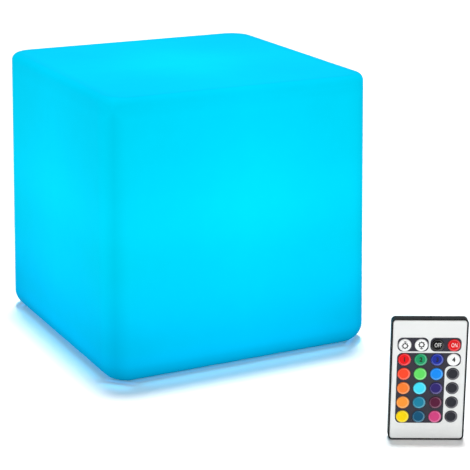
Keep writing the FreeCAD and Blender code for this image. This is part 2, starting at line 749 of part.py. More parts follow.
def diffuser_dome():
    side_top = lamp_board_top + DOME_SIDE_ABOVE_BOARD
    crown = side_top + DOME_RISE

    def profile(radius, low, top):
        """Half of a domed cylinder's outline, from its axis round to its foot."""
        rise = top - side_top
        sphere_r = (radius ** 2 + rise ** 2) / (2 * rise)
        centre_z = top - sphere_r
        half_x = radius / 2
        middle = FreeCAD.Vector(half_x, 0, centre_z + (sphere_r ** 2 - half_x ** 2) ** 0.5)
        axis_top = FreeCAD.Vector(0, 0, top)
        shoulder = FreeCAD.Vector(radius, 0, side_top)
        foot = FreeCAD.Vector(radius, 0, low)
        axis_low = FreeCAD.Vector(0, 0, low)
        edges = [
            Part.Arc(axis_top, middle, shoulder).toShape(),
            Part.LineSegment(shoulder, foot).toShape(),
            Part.LineSegment(foot, axis_low).toShape(),
            Part.LineSegment(axis_low, axis_top).toShape(),
        ]
        return Part.Face(Part.Wire(edges)).revolve(CENTRE, UP, 360)

    return profile(dome_r, cover_top, crown).cut(profile(dome_in_r, cover_top, crown - DOME_WALL))


def dome_seal():
    centre = FreeCAD.Vector(0, 0, cover_top + DOME_SEAL_HEIGHT)
    return Part.makeTorus(dome_in_r - SEAT_GAP - DOME_SEAL_R, DOME_SEAL_R, centre)


# Remote control. It is drawn lying on its back: u is across, v is up its face, and w is its depth
# from the back to the front; stand() then puts it upright in its place.

def stand(shape):
    placed = shape.copy()
    placed.rotate(CENTRE, FreeCAD.Vector(1, 0, 0), 90)
    placed.translate(FreeCAD.Vector(0, remote_thick / 2, 0))
    placed.rotate(CENTRE, UP, REMOTE_TURN)
    placed.translate(FreeCAD.Vector(REMOTE_X, REMOTE_Y, 0))
    return placed


def key_place(row, column):
    u = (column - (len(KEY_ROWS[0]) - 1) / 2) * key_pitch_u
    v = REMOTE_HEIGHT / 2 + KEY_FIRST_ROW - row * key_pitch_v
    return u, v


def key_places():
    return [key_place(row, column) for row in range(len(KEY_ROWS)) for column in range(len(KEY_ROWS[0]))]


def inset_plate(inset, w_low, w_high):
    """A plate with the remote's outline, drawn in by an inset."""
    half = REMOTE_WIDTH / 2 - inset
    radius = max(REMOTE_CORNER_R - inset, REMOTE_INNER_R)
    return rounded_plate(-half, half, inset, REMOTE_HEIGHT - inset, w_low, w_high, radius)


def remote_back_case():
    case = inset_plate(0, 0, remote_thick)
    case = case.makeFillet(REMOTE_EDGE_R, edges_at(case, 0))
    case = case.cut(inset_plate(REMOTE_RIM, remote_board_back, remote_thick))
    case = case.cut(inset_plate(REMOTE_RIM + REMOTE_LEDGE, REMOTE_BACK_WALL, remote_board_back))
    slot_half = tray_half_width + TRAY_GAP
    rail_top = tray_end + RAIL_EXTRA
    for side in (-1, 1):
        low, high = sorted((side * slot_half, side * (slot_half + RAIL_WIDTH)))
        case = case.fuse(box(low, high, REMOTE_RIM, rail_top, REMOTE_BACK_WALL, remote_board_back))
    slot_front = remote_board_back - SPRING_THICK / 2
    case = case.cut(box(-slot_half, slot_half, 0, rail_top, REMOTE_BACK_WALL, slot_front))
    case = case.cut(
        box(
            -EMITTER_R - TRAY_GAP, EMITTER_R + TRAY_GAP,
            REMOTE_HEIGHT - REMOTE_RIM - REMOTE_LEDGE, REMOTE_HEIGHT - REMOTE_RIM,
            REMOTE_BACK_WALL, remote_board_back,
        )
    )
    window = Part.makeCylinder(
        EMITTER_R + SEAT_GAP, REMOTE_RIM,
        FreeCAD.Vector(0, REMOTE_HEIGHT - REMOTE_RIM, emitter_w()), FreeCAD.Vector(0, 1, 0),
    )
    return stand(case.cut(window).removeSplitter())


def remote_front_plate():
    plate = inset_plate(REMOTE_RIM + PLATE_FIT, plate_back, plate_front)
    plate = plate.makeChamfer(PLATE_CHAMFER, edges_at(plate, plate_front))
    for u, v in key_places():
        plate = plate.cut(disc(u, v, plate_back, plate_front, key_hole_r))
    return stand(plate)


def remote_key_label():
    """Dark fields on the face: two in the first row, and one that leaves the lower right bare."""
    low, high = plate_front, plate_front + LABEL_THICK
    left = key_place(0, 0)[0] - KEY_R - LABEL_MARGIN
    right = key_place(0, 3)[0] + KEY_R + LABEL_MARGIN
    inner_right = (key_place(0, 2)[0] + key_place(0, 3)[0]) / 2
    half_height = KEY_R + LABEL_MARGIN_UP
    row_top = key_place(0, 0)[1] + KEY_R + LABEL_TOP_MARGIN
    field_top = key_place(1, 0)[1] + half_height
    field_step = key_place(1, 0)[1] - half_height
    field_low = key_place(5, 0)[1] - half_height
    row_low = field_top + LABEL_SPLIT
    half_split = LABEL_SPLIT / 2
    fields = [
        rounded_plate(left, -half_split, row_low, row_top, low, high, LABEL_CORNER_R),
        rounded_plate(half_split, right, row_low, row_top, low, high, LABEL_CORNER_R),
    ]
    wide = rounded_plate(left, right, field_step, field_top, low, high, LABEL_CORNER_R)
    tall = rounded_plate(left, inner_right, field_low, field_top, low, high, LABEL_CORNER_R)
    inner_corner = box(
        inner_right, inner_right + LABEL_CORNER_R, field_step - LABEL_CORNER_R, field_step, low, high
    ).cut(disc(inner_right + LABEL_CORNER_R, field_step - LABEL_CORNER_R, low, high, LABEL_CORNER_R))
    fields.append(wide.fuse([tall, inner_corner]).removeSplitter())
    cut_fields = []
    for field in fields:
        for u, v in key_places():
            field = field.cut(disc(u, v, low, high, key_hole_r))
        cut_fields.append(field)
    return stand(Part.makeCompound(cut_fields))


def remote_keypad():
    mat = inset_plate(REMOTE_RIM + MAT_MARGIN, mat_back, plate_back)
    for u, v in key_places():
        mat = mat.cut(disc(u, v, mat_back, plate_back, mat_hole_r))
    return stand(mat)


def remote_key(row, column):
    u, v = key_place(row, column)
    top = plate_front + KEY_PROUD
    key = disc(u, v, plate_back, top, KEY_R)
    key = key.makeFillet(KEY_EDGE_R, edges_at(key, top))
    key = key.fuse(disc(u, v, plate_back - KEY_FLANGE_THICK, plate_back, key_flange_r))
    return stand(key)


def remote_board():
    board = inset_plate(REMOTE_RIM + PLATE_FIT, remote_board_back, mat_back)
    chip_w = remote_board_back - REMOTE_CHIP_HEIGHT
    chip = disc(0, REMOTE_HEIGHT - REMOTE_CHIP_DROP, chip_w, remote_board_back, REMOTE_CHIP_R)
    chip = chip.makeFillet(REMOTE_CHIP_EDGE_R, edges_at(chip, chip_w))
    return stand(board.fuse(chip))


def emitter_w():
    return REMOTE_BACK_WALL + EMITTER_R + EMITTER_GAP


def ir_emitter():
    tip = REMOTE_HEIGHT - EMITTER_INSET
    start = FreeCAD.Vector(0, tip - EMITTER_R - EMITTER_LENGTH, emitter_w())
    body = Part.makeCylinder(EMITTER_R, EMITTER_LENGTH, start, FreeCAD.Vector(0, 1, 0))
    nose = Part.makeSphere(EMITTER_R, FreeCAD.Vector(0, tip - EMITTER_R, emitter_w()))
    leg_low = tip - EMITTER_R - EMITTER_LENGTH
    legs = box(
        -EMITTER_LEG_HALF_WIDTH, EMITTER_LEG_HALF_WIDTH,
        leg_low - EMITTER_LEG_LENGTH, leg_low + EMITTER_LEG_SINK,
        emitter_w() + EMITTER_LEG_STEP, remote_board_back,
    )
    return stand(body.fuse([nose, legs]))


def battery_tray():
    low = REMOTE_BACK_WALL + TRAY_CLEAR / 2
    high = low + tray_thick
    tray = rounded_plate(-tray_half_width, tray_half_width, TRAY_LIFT, tray_end, low, high, TRAY_CORNER_R)
    tray = tray.cut(disc(0, coin_v, low, high, COIN_R + TRAY_GAP))
    slot = TRAY_SLOT / 2
    tray = tray.cut(box(-slot, slot, coin_v, tray_end, low, high))
    for i in range(GRIP_GROOVES):
        grip_v = TRAY_LIFT + GRIP_FIRST + GRIP_PITCH * i
        tray = tray.cut(
            box(-GRIP_HALF_LENGTH, GRIP_HALF_LENGTH, grip_v, grip_v + GRIP_WIDTH, low, low + GRIP_DEPTH)
        )
    return stand(tray)


def coin_cell():
    low = REMOTE_BACK_WALL + TRAY_CLEAR / 2 + (tray_thick - COIN_THICK) / 2
    lid_low = low + COIN_THICK - COIN_LID_HEIGHT
    can = disc(0, coin_v, low, lid_low, COIN_R)
    lid = disc(0, coin_v, lid_low, low + COIN_THICK, COIN_LID_R)
    return stand(can.fuse(lid))


def coin_contacts():
    back = remote_board_back - SPRING_THICK
    half = SPRING_WIDTH / 2
    flat = box(
        -half, half, coin_v - SPRING_HALF_LENGTH, coin_v + SPRING_HALF_LENGTH, back, remote_board_back
    )
    rim_v = coin_v + COIN_R + SPRING_THICK
    foot = REMOTE_BACK_WALL + SPRING_FOOT_GAP
    upright = box(-half, half, rim_v, rim_v + SPRING_THICK, foot, remote_board_back)
    return stand(Part.makeCompound([flat, upright]))


def main():
    nodes = {
        "cube_shell": cube_shell(),
        "screw_inserts": screw_inserts(),
        "base_gasket": base_gasket(),
        "base_cover": base_cover(),
        "base_screws": base_screws(),
        "power_button": power_button(),
        "button_seal": button_seal(),
        "tact_switch": tact_switch(),
        "switch_plunger": switch_plunger(),
        "charge_socket": charge_socket(),
        "socket_nut": socket_nut(),
        "port_plug": port_plug(),
        "battery_pad": battery_pad(),
        "battery_holder": battery_holder(),
        "battery_cell": battery_cell(),
        "battery_contacts": battery_contacts(),
        "control_board": control_board(),
        "board_screws": board_screws(),
        "lead_connectors": lead_connectors(),
        "battery_lead": battery_lead(),
        "led_lead": led_lead(),
        "led_board": led_board(),
        "led_board_screws": led_board_screws(),
        "led_packages": led_packages(),
        "ir_receiver": ir_receiver(),
        "diffuser_dome": diffuser_dome(),
        "dome_seal": dome_seal(),
        "remote_back_case": remote_back_case(),
        "remote_front_plate": remote_front_plate(),
        "remote_key_label": remote_key_label(),
        "remote_keypad": remote_keypad(),
        "remote_board": remote_board(),
        "ir_emitter": ir_emitter(),
        "battery_tray": battery_tray(),
        "coin_cell": coin_cell(),
        "coin_contacts": coin_contacts(),
    }
    for row, names in enumerate(KEY_ROWS):
        for column, name in enumerate(names):
            nodes[f"key_{name}"] = remote_key(row, column)
    os.makedirs("parts", exist_ok=True)
    for name, shape in nodes.items():
        shape.exportStep(f"parts/{name}.step")
    print(len(nodes), "nodes")


main()
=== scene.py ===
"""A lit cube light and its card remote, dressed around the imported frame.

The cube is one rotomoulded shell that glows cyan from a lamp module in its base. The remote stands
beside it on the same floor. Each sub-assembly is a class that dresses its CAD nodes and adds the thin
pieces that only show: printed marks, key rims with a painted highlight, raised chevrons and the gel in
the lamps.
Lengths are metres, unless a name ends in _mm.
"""

import json
import logging
import math
from dataclasses import dataclass, field
from enum import Enum

import bmesh
import bpy
from mathutils import Matrix, Vector


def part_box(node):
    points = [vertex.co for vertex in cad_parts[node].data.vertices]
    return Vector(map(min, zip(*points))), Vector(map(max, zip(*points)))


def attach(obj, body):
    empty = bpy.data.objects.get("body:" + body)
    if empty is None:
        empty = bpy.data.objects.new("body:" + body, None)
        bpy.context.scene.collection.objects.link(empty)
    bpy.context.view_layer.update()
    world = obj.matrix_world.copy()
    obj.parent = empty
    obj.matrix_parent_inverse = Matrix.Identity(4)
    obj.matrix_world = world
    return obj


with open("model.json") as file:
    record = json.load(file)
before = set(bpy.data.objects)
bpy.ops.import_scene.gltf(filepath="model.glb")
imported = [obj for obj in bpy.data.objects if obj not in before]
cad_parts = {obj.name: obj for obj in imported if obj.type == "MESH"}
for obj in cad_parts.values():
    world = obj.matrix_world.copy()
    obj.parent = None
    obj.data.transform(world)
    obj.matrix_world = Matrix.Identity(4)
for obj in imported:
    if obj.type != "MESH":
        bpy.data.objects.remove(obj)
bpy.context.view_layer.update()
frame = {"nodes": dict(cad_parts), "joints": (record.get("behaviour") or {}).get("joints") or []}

Tree = bpy.types.NodeTree
Socket = bpy.types.NodeSocket
# What the inputs of a node get, by name or number: a constant, or the output that feeds it.
Sockets = dict[str | int, object]
Shape = bmesh.types.BMesh
Points = list[tuple[float, float]]
# Constants of named inputs.
Inputs = tuple[tuple[str, float], ...]
# Lengths, each with a value.
Curve = tuple[tuple[float, float], ...]
# Two values of a pattern, and what each of them turns into.
Swing = tuple[float, float, float, float]

MM = 0.001
UP = Vector((0.0, 0.0, 1.0))
# Ink is this thick, and lies this far off its surface, so that the two never share a plane.
INK_THICK = 0.03 * MM
INK_GAP = 0.005 * MM
# Faces that meet at a smaller angle than this look smooth.
SMOOTH_DEG = 35.0
# Corners nearer to each other than this are one corner.
WELD_GAP = 0.001 * MM
# Nearly all of a noise pattern lies between these two values.
NOISE_SPAN = (0.3, 0.7)
NODES: dict[str, bpy.types.Object] = frame["nodes"]

log = logging.getLogger("cube_light")


# Colours, nodes and meshes


def hex_to_linear(code: str) -> tuple[float, float, float, float]:
    """Turns an sRGB hex colour into a linear one.

    Args:
        code: Six hex digits.

    Returns:
        Red, green, blue and an alpha of 1.
    """
    parts = []
    for start in range(0, 6, 2):
        share = int(code[start:start + 2], 16) / 255
        parts.append(share / 12.92 if share <= 0.04045 else ((share + 0.055) / 1.055) ** 2.4)
    return (*parts, 1.0)


def paler(code: str, share: float) -> str:
    """An sRGB hex colour, moved a share of the way to white."""
    parts = (int(code[start:start + 2], 16) for start in range(0, 6, 2))
    return "".join(f"{round(part + (255 - part) * share):02X}" for part in parts)


def add_node(tree: Tree, kind: str, sockets: Sockets | None = None, **settings: object) -> bpy.types.Node:
    """Adds one node, sets its properties and fills or links its inputs.

    Args:
        tree: The tree that gets the node.
        kind: The node's type, such as ShaderNodeTexNoise.
        sockets: What its inputs get.
        **settings: The node's own properties.

    Returns:
        The new node.
    """
    node = tree.nodes.new(kind)
    for name, value in settings.items():
        setattr(node, name, value)
    for name, value in (sockets or {}).items():
        if isinstance(value, Socket):
            tree.links.new(value, node.inputs[name])
        else:
            node.inputs[name].default_value = value
    return node


def per_metre(size_mm: float) -> float:
    """The scale of a pattern whose features are this many millimetres apart."""
    return 1.0 / (size_mm * MM)


def link(name: str, data: bpy.types.ID) -> bpy.types.Object:
    """Puts a new object in the scene.

    Args:
        name: The object's name.
        data: Its mesh, lamp, camera or text.

    Returns:
        The new object.
    """
    made = bpy.data.objects.new(name, data)
    bpy.context.scene.collection.objects.link(made)
    return made


def link_mesh(name: str, shape: Shape) -> bpy.types.Object:
    """Turns a built shape into a named piece, with smooth faces up to SMOOTH_DEG.

    Args:
        name: The piece's name.
        shape: The shape, which is freed.

    Returns:
        The new piece.
    """
    mesh = bpy.data.meshes.new(name)
    bmesh.ops.recalc_face_normals(shape, faces=shape.faces)
    shape.to_mesh(mesh)
    shape.free()
    for polygon in mesh.polygons:
        polygon.use_smooth = True
    mesh.set_sharp_from_angle(angle=math.radians(SMOOTH_DEG))
    log.info("%s made", name)
    return link(name, mesh)


def lathe(shape: Shape, profile: Points, place: Matrix, steps: int = 40) -> None:
    """Adds a turned surface to a shape.

    Args:
        shape: The shape that gets it.
        profile: Radius and height of each ring; a radius of 0 closes an end.
        place: Puts the axis, which is local Z, in its place.
        steps: Points in a ring.
    """
    rings = []
    for radius, height in profile:
        turns = [math.tau * i / steps for i in range(steps if radius > 0 else 1)]
        rings.append([
            shape.verts.new(place @ Vector((radius * math.cos(turn), radius * math.sin(turn), height)))
            for turn in turns
        ])
    for low, high in zip(rings, rings[1:]):
        for i in range(steps):
            quad = ((low, i), (low, i + 1), (high, i + 1), (high, i))
            corners = list(dict.fromkeys(ring[k % len(ring)] for ring, k in quad))
            if len(corners) > 2:
                shape.faces.new(corners)


def turned(points: Points, angle: float, lift: float = 0.0) -> Points:
    """Points turned about the origin and then moved up.

    Args:
        points: The points.
        angle: In radians, anticlockwise.
        lift: How far up.

    Returns:
        The moved points.
    """
    c, s = math.cos(angle), math.sin(angle)
    return [(x * c - y * s, lift + x * s + y * c) for x, y in points]


def slab(shape: Shape, points: Points, thick: float) -> None:
    """One flat stroke of a printed or raised mark, from its corners, standing on z = 0.

    Args:
        shape: The shape that gets it.
        points: The corners.
        thick: Of the stroke.
    """
    face = shape.faces.new([shape.verts.new((x, y, 0.0)) for x, y in points])
    top = bmesh.ops.extrude_face_region(shape, geom=[face])["geom"]
    moved = [corner for corner in top if isinstance(corner, bmesh.types.BMVert)]
    bmesh.ops.translate(shape, verts=moved, vec=(0.0, 0.0, thick))


def weld(shape: Shape) -> None:
    """Joins corners that meet, and drops the faces that end up between two strokes.

    Args:
        shape: The shape.
    """
    bmesh.ops.remove_doubles(shape, verts=shape.verts, dist=WELD_GAP)
    between = [face for face in shape.faces if all(len(edge.link_faces) > 2 for edge in face.edges)]
    bmesh.ops.delete(shape, geom=between, context="FACES_ONLY")


@dataclass(frozen=True)
class Lettering:
    """Plain capitals and numbers for a printed mark.

    Attributes:
        size: Of the type.
        narrow: Share of the natural width.
        bold: How far the strokes are thickened on each side.
        steps: Points in each stretch of a letter's outline.
    """

    size: float
    narrow: float
    bold: float
    steps: int = 4

    def layer(self, name: str, words: str) -> bpy.types.Object:
        """A word or number as a thin layer of ink, lying on z = 0 about the origin.

        Args:
            name: The piece's name.
            words: What it says.

        Returns:
            The new piece.
        """
        curve = bpy.data.curves.new(name, "FONT")
        curve.body, curve.size, curve.offset = words, self.size, self.bold
        curve.align_x, curve.align_y = "CENTER", "CENTER"
        curve.extrude = INK_THICK / 2
        curve.resolution_u = self.steps
        drawn = link(name, curve)
        mesh = bpy.data.meshes.new_from_object(drawn)
        bpy.data.objects.remove(drawn)
        mesh.materials.clear()
        lift = Matrix.Translation((0.0, 0.0, INK_THICK / 2))
        mesh.transform(lift @ Matrix.Diagonal((self.narrow, 1.0, 1.0, 1.0)))
        log.info("%s made", name)
        return link(name, mesh)


def middle(node: str) -> Vector:
    """The middle of a CAD node's box at rest."""
    low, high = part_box(node)
    return (low + high) / 2


def outermost(node: str, way: Vector) -> Vector:
    """A CAD node's middle, moved until it lies as far out as the node reaches.

    Args:
        node: The node's name.
        way: The direction.

    Returns:
        The place.
    """
    centre = middle(node)
    reach = max(vertex.co.dot(way) for vertex in NODES[node].data.vertices)
    return centre + way * (reach - centre.dot(way))


# Finishes


@dataclass(frozen=True)
class Pattern:
    """A pattern in a surface, made of clouds or of round cells.

    Attributes:
        size_mm: Distance between its features.
        detail: How many finer layers clouds have.
        rough: How strong those layers are.
        warp: How far clouds are drawn out of shape.
        longer: How many times longer the features are along X, Y and Z.
        cells: Whether it has cells.
    """

    size_mm: float
    detail: float = 2.0
    rough: float = 0.5
    warp: float = 0.0
    longer: tuple[float, float, float] = (1.0, 1.0, 1.0)
    cells: bool = False

    def value(self, tree: Tree, place: Socket) -> Socket:
        """The pattern's value over the surface.

        Args:
            tree: The material's node tree.
            place: The place on the surface, in metres.

        Returns:
            The value.
        """
        scale = tuple(1.0 / times for times in self.longer)
        drawn = add_node(tree, "ShaderNodeMapping", {"Vector": place, "Scale": scale})
        sockets = {"Vector": drawn.outputs[0], "Scale": per_metre(self.size_mm)}
        if self.cells:
            return add_node(tree, "ShaderNodeTexVoronoi", sockets).outputs["Distance"]
        sockets |= {"Detail": self.detail, "Roughness": self.rough, "Distortion": self.warp}
        return add_node(tree, "ShaderNodeTexNoise", sockets).outputs["Fac"]


@dataclass(frozen=True)
class Finish:
    """A finish, whose material is made once and shared.

    Attributes:
        name: The material's name, which says what it is made of and how.
        colour: The sRGB hex colour of the clean surface.
        marks: The pattern in its colour, if it has one.
        swing: Two values of that pattern, and the factor on the colour that each gives.
        grain: The pattern in its roughness and relief, if it has one.
        depth_mm: Height of the grain.
        bump: How strongly it shows.
        roughness: Of the surface, with the grain's swing to both sides.
        rough_swing: That swing.
        reflection: Strength of its reflection, 0.5 for a bare surface.
        others: More inputs of the surface shader, each with its constant.
    """

    name: str
    colour: str
    marks: Pattern | None = None
    swing: Swing = (*NOISE_SPAN, 1.0, 1.0)
    grain: Pattern | None = None
    depth_mm: float = 0.01
    bump: float = 0.5
    roughness: float = 0.5
    rough_swing: float = 0.0
    reflection: float = 0.5
    others: Inputs = ()

    def clean(self, tree: Tree, place: Socket) -> object:
        """The colour without its marks, for the tree and the place on the surface."""
        return hex_to_linear(self.colour)

    def skin(self, tree: Tree, pattern: Socket) -> Sockets:
        """Roughness and bump that follow one pattern.

        Args:
            tree: The material's node tree.
            pattern: The pattern's value.

        Returns:
            What the shader's Roughness and Normal get.
        """
        rough: object = self.roughness
        if self.rough_swing:
            span = (*NOISE_SPAN, self.roughness - self.rough_swing, self.roughness + self.rough_swing)
            sockets = {"Value": pattern, **dict(enumerate(span, 1))}
            rough = add_node(tree, "ShaderNodeMapRange", sockets).outputs[0]
        relief = add_node(
            tree, "ShaderNodeBump", {"Height": pattern, "Distance": self.depth_mm * MM, "Strength": self.bump}
        )
        return {"Roughness": rough, "Normal": relief.outputs[0]}

    def shade(self, tree: Tree, place: Socket) -> Sockets:
        """Works out what the surface shader gets.

        Args:
            tree: The material's node tree.
            place: The place on the surface, in metres.

        Returns:
            What the inputs of the Principled shader get.
        """
        colour = self.clean(tree, place)
        if self.marks:
            marks = self.marks.value(tree, place)
            gain = add_node(tree, "ShaderNodeMapRange", {"Value": marks, **dict(enumerate(self.swing, 1))})
            colour = add_node(
                tree, "ShaderNodeHueSaturation", {"Color": colour, "Value": gain.outputs[0]}
            ).outputs[0]
        skin = self.skin(tree, self.grain.value(tree, place)) if self.grain else {"Roughness": self.roughness}
        return {"Base Color": colour, **skin, "Specular IOR Level": self.reflection, **dict(self.others)}

    def material(self) -> bpy.types.Material:
        """The material of this finish, made at the first call."""
        if self not in MADE:
            made = bpy.data.materials.new(self.name)
            made.use_nodes = True
            tree = made.node_tree
            tree.nodes.clear()
            place = add_node(tree, "ShaderNodeTexCoord").outputs["Object"]
            shader = add_node(tree, "ShaderNodeBsdfPrincipled", self.shade(tree, place))
            add_node(tree, "ShaderNodeOutputMaterial", {"Surface": shader.outputs["BSDF"]})
            MADE[self] = made
        return MADE[self]


MADE: dict[Finish, bpy.types.Material] = {}


@dataclass(frozen=True)
class LitPolyethylene(Finish):
    """Natural linear polyethylene, rotomoulded, with the lamp on behind it.

    The wall scatters the light so well that the whole skin glows in one hue, only a little bluer near the
    floor. It is dimmest where the wall runs into the thick ring of the base, brightest where the beam
    meets a face, a little dimmer along the rounded edges, and faintly mottled where the powder melted
    thicker or thinner.

    Attributes:
        glow: Strength of the light.
        wall_colour: The sRGB hex colour that the wall adds in outside light.
        wax_tint: The sRGB hex tint of the waxy skin, which hardly reflects.
        wax_ior: Of that skin.
        wax_roughness: Of that skin.
        curve_top: The highest value that a curve may have.
        by_height: Share of the light at each height, in millimetres.
        by_side: Share of the light at each distance from an upright edge, in millimetres.
        blue_by_height: Share of blue at each height, in millimetres.
        spots: Brighter and dimmer places: x, y, z and width in millimetres, and the gain in the middle.
        edge_width_mm: How far in the dimming of a rounded edge reaches.
        edge_share: Share of the light that is left on the edge.
    """

    marks: Pattern = Pattern(14.0, detail=3.0, rough=0.6)
    swing: Swing = (0.25, 0.75, 0.988, 1.012)
    grain: Pattern = Pattern(3.0, detail=1.0)
    depth_mm: float = 0.02
    bump: float = 1.0
    roughness: float = 0.6
    reflection: float = 0.0
    glow: float = 1.44
    wall_colour: str = "001C28"
    wax_tint: str = "F3FAFC"
    wax_ior: float = 1.01
    wax_roughness: float = 0.35
    curve_top: float = 1.1
    by_height: Curve = (
        (0.0, 0.26), (2.5, 0.40), (6.0, 0.50), (11.0, 0.605), (18.0, 0.726), (30.0, 0.772), (60.0, 0.885),
        (90.0, 0.935), (120.0, 1.0), (150.0, 0.965), (180.0, 0.93), (195.0, 0.925), (203.0, 0.975),
        (209.0, 1.04),
    )
    by_side: Curve = (
        (0.0, 0.885), (8.0, 0.90), (16.0, 0.925), (24.0, 0.94), (50.0, 0.957), (80.0, 0.98), (108.5, 1.0),
    )
    blue_by_height: Curve = (
        (0.0, 1.0), (15.0, 1.0), (26.0, 0.94), (40.0, 0.915), (60.0, 0.85), (90.0, 0.785), (120.0, 0.77),
        (190.0, 0.785), (209.0, 0.80),
    )
    spots: tuple[tuple[float, float, float, float, float], ...] = (
        (-104.0, -104.0, 10.0, 60.0, -0.07),
        (104.0, -104.0, 10.0, 60.0, -0.10),
        (-104.0, 104.0, 10.0, 60.0, -0.08),
        (104.0, 104.0, 10.0, 60.0, -0.08),
        (10.0, -107.0, 128.0, 80.0, 0.03),
        (-107.0, 0.0, 100.0, 120.0, 0.04),
        (107.0, 0.0, 100.0, 120.0, 0.03),
        (0.0, 107.0, 110.0, 120.0, 0.03),
        (0.0, 0.0, 209.0, 90.0, 0.10),
    )
    edge_width_mm: float = 17.0
    edge_share: float = 0.88

    def along(self, tree: Tree, length: Socket, stops: Curve) -> Socket:
        """A smooth curve of a value along a length.

        Args:
            tree: The material's node tree.
            length: The length in metres.
            stops: The curve's points.

        Returns:
            The value.
        """
        end = stops[-1][0]
        share = add_node(tree, "ShaderNodeMath", {0: length, 1: end * MM}, operation="DIVIDE", use_clamp=True)
        curve = add_node(tree, "ShaderNodeFloatCurve", {"Value": share.outputs[0]})
        points = curve.mapping.curves[0].points
        while len(points) < len(stops):
            points.new(0.5, 0.5)
        for point, (place, value) in zip(points, stops):
            point.location = (place / end, value / self.curve_top)
        curve.mapping.update()
        return add_node(
            tree, "ShaderNodeMath", {0: curve.outputs[0], 1: self.curve_top}, operation="MULTIPLY"
        ).outputs[0]

    def edge_shares(self, tree: Tree, parts: bpy.types.Node) -> list[Socket]:
        """The dimming along the rounded edges and towards the upright ones.

        The narrow one follows the middle one of the distances to the outer planes, and the wide one the
        distance to the nearest upright edge.

        Args:
            tree: The material's node tree.
            parts: A Separate XYZ node of the place on the shell.

        Returns:
            The two shares, 1 away from the edges.
        """
        gaps = []
        for axis, limit in zip("XYZ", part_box("cube_shell")[1]):
            size = add_node(tree, "ShaderNodeMath", {0: parts.outputs[axis]}, operation="ABSOLUTE")
            gap = add_node(tree, "ShaderNodeMath", {0: limit, 1: size.outputs[0]}, operation="SUBTRACT")
            gaps.append(gap.outputs[0])
        side, front, top = gaps
        less = add_node(tree, "ShaderNodeMath", {0: side, 1: front}, operation="MINIMUM").outputs[0]
        more = add_node(tree, "ShaderNodeMath", {0: side, 1: front}, operation="MAXIMUM").outputs[0]
        upper = add_node(tree, "ShaderNodeMath", {0: more, 1: top}, operation="MINIMUM").outputs[0]
        centre = add_node(tree, "ShaderNodeMath", {0: less, 1: upper}, operation="MAXIMUM").outputs[0]
        narrow = add_node(
            tree, "ShaderNodeMapRange",
            {"Value": centre, 1: 0.0, 2: self.edge_width_mm * MM, 3: self.edge_share, 4: 1.0},
            interpolation_type="SMOOTHSTEP",
        )
        return [narrow.outputs[0], self.along(tree, more, self.by_side)]

    def clean(self, tree: Tree, place: Socket) -> Socket:
        """The glow without its mottle: every share of it, multiplied.

        Args:
            tree: The material's node tree.
            place: The place on the surface, in metres.

        Returns:
            The light's colour and strength.
        """
        parts = add_node(tree, "ShaderNodeSeparateXYZ", {0: place})
        height = parts.outputs["Z"]
        strength = self.along(tree, height, self.by_height)
        shares = self.edge_shares(tree, parts)
        for x, y, z, width, gain in self.spots:
            centre = (x * MM, y * MM, z * MM)
            away = add_node(tree, "ShaderNodeVectorMath", {0: place, 1: centre}, operation="DISTANCE")
            spot = add_node(
                tree, "ShaderNodeMapRange",
                {"Value": away.outputs["Value"], 1: 0.0, 2: width * MM, 3: 1.0 + gain, 4: 1.0},
                interpolation_type="SMOOTHERSTEP",
            )
            shares.append(spot.outputs[0])
        for share in shares:
            strength = add_node(
                tree, "ShaderNodeMath", {0: strength, 1: share}, operation="MULTIPLY"
            ).outputs[0]
        blue = self.along(tree, height, self.blue_by_height)
        hue = add_node(tree, "ShaderNodeCombineXYZ", {"X": 1.0, "Y": 1.0, "Z": blue})
        tint = add_node(
            tree, "ShaderNodeVectorMath", {0: hex_to_linear(self.colour)[:3], 1: hue.outputs[0]},
            operation="MULTIPLY",
        )
        return add_node(
            tree, "ShaderNodeVectorMath", {0: tint.outputs[0], "Scale": strength}, operation="SCALE"
        ).outputs[0]

    def shade(self, tree: Tree, place: Socket) -> Sockets:
        """Lets the colour glow, with a thin waxy skin over it.

        Args:
            tree: The material's node tree.
            place: The place on the surface, in metres.

        Returns:
            What the inputs of the Principled shader get.
        """
        sockets = super().shade(tree, place)
        return {
            "Emission Color": sockets["Base Color"],
            "Emission Strength": self.glow,
            "Base Color": hex_to_linear(self.wall_colour),
            "Roughness": self.roughness,
            "Specular IOR Level": self.reflection,
            "Coat Weight": 1.0,
            "Coat IOR": self.wax_ior,
            "Coat Roughness": self.wax_roughness,
            "Coat Tint": hex_to_linear(self.wax_tint),
            "Coat Normal": sockets["Normal"],
        }


@dataclass(frozen=True)
class MouldedPlastic(Finish):
    """Moulded plastic, with the fine grain of its tool and faint, slow flow marks.

    The grain is drawn coarser than the real 0.1 mm, so that it shows in a close view.
    """

    marks: Pattern = Pattern(9.0, detail=3.0, warp=0.8)
    swing: Swing = (0.2, 0.8, 0.97, 1.03)
    grain: Pattern = Pattern(0.35, rough=0.6)
    depth_mm: float = 0.008
    bump: float = 0.6
    roughness: float = 0.45
    rough_swing: float = 0.06
    others: Inputs = (("IOR", 1.53),)


@dataclass(frozen=True)
class PrintedFilm(Finish):
    """Screen print on polyester film or on a key: very even, with a satin sheen and a faint ripple."""

    marks: Pattern = Pattern(0.4, cells=True)
    swing: Swing = (0.0, 0.7, 1.01, 0.985)
    grain: Pattern = Pattern(4.0)
    bump: float = 0.4
    roughness: float = 0.38
    rough_swing: float = 0.04
    reflection: float = 0.2
    others: Inputs = (("IOR", 1.57),)


@dataclass(frozen=True)
class StudioPaper(Finish):
    """Matt white background paper with a faint fibre, bright enough to lose its own shape."""

    marks: Pattern = Pattern(6.0, detail=4.0)
    swing: Swing = (0.2, 0.8, 0.99, 1.0)
    roughness: float = 1.0
    reflection: float = 0.0


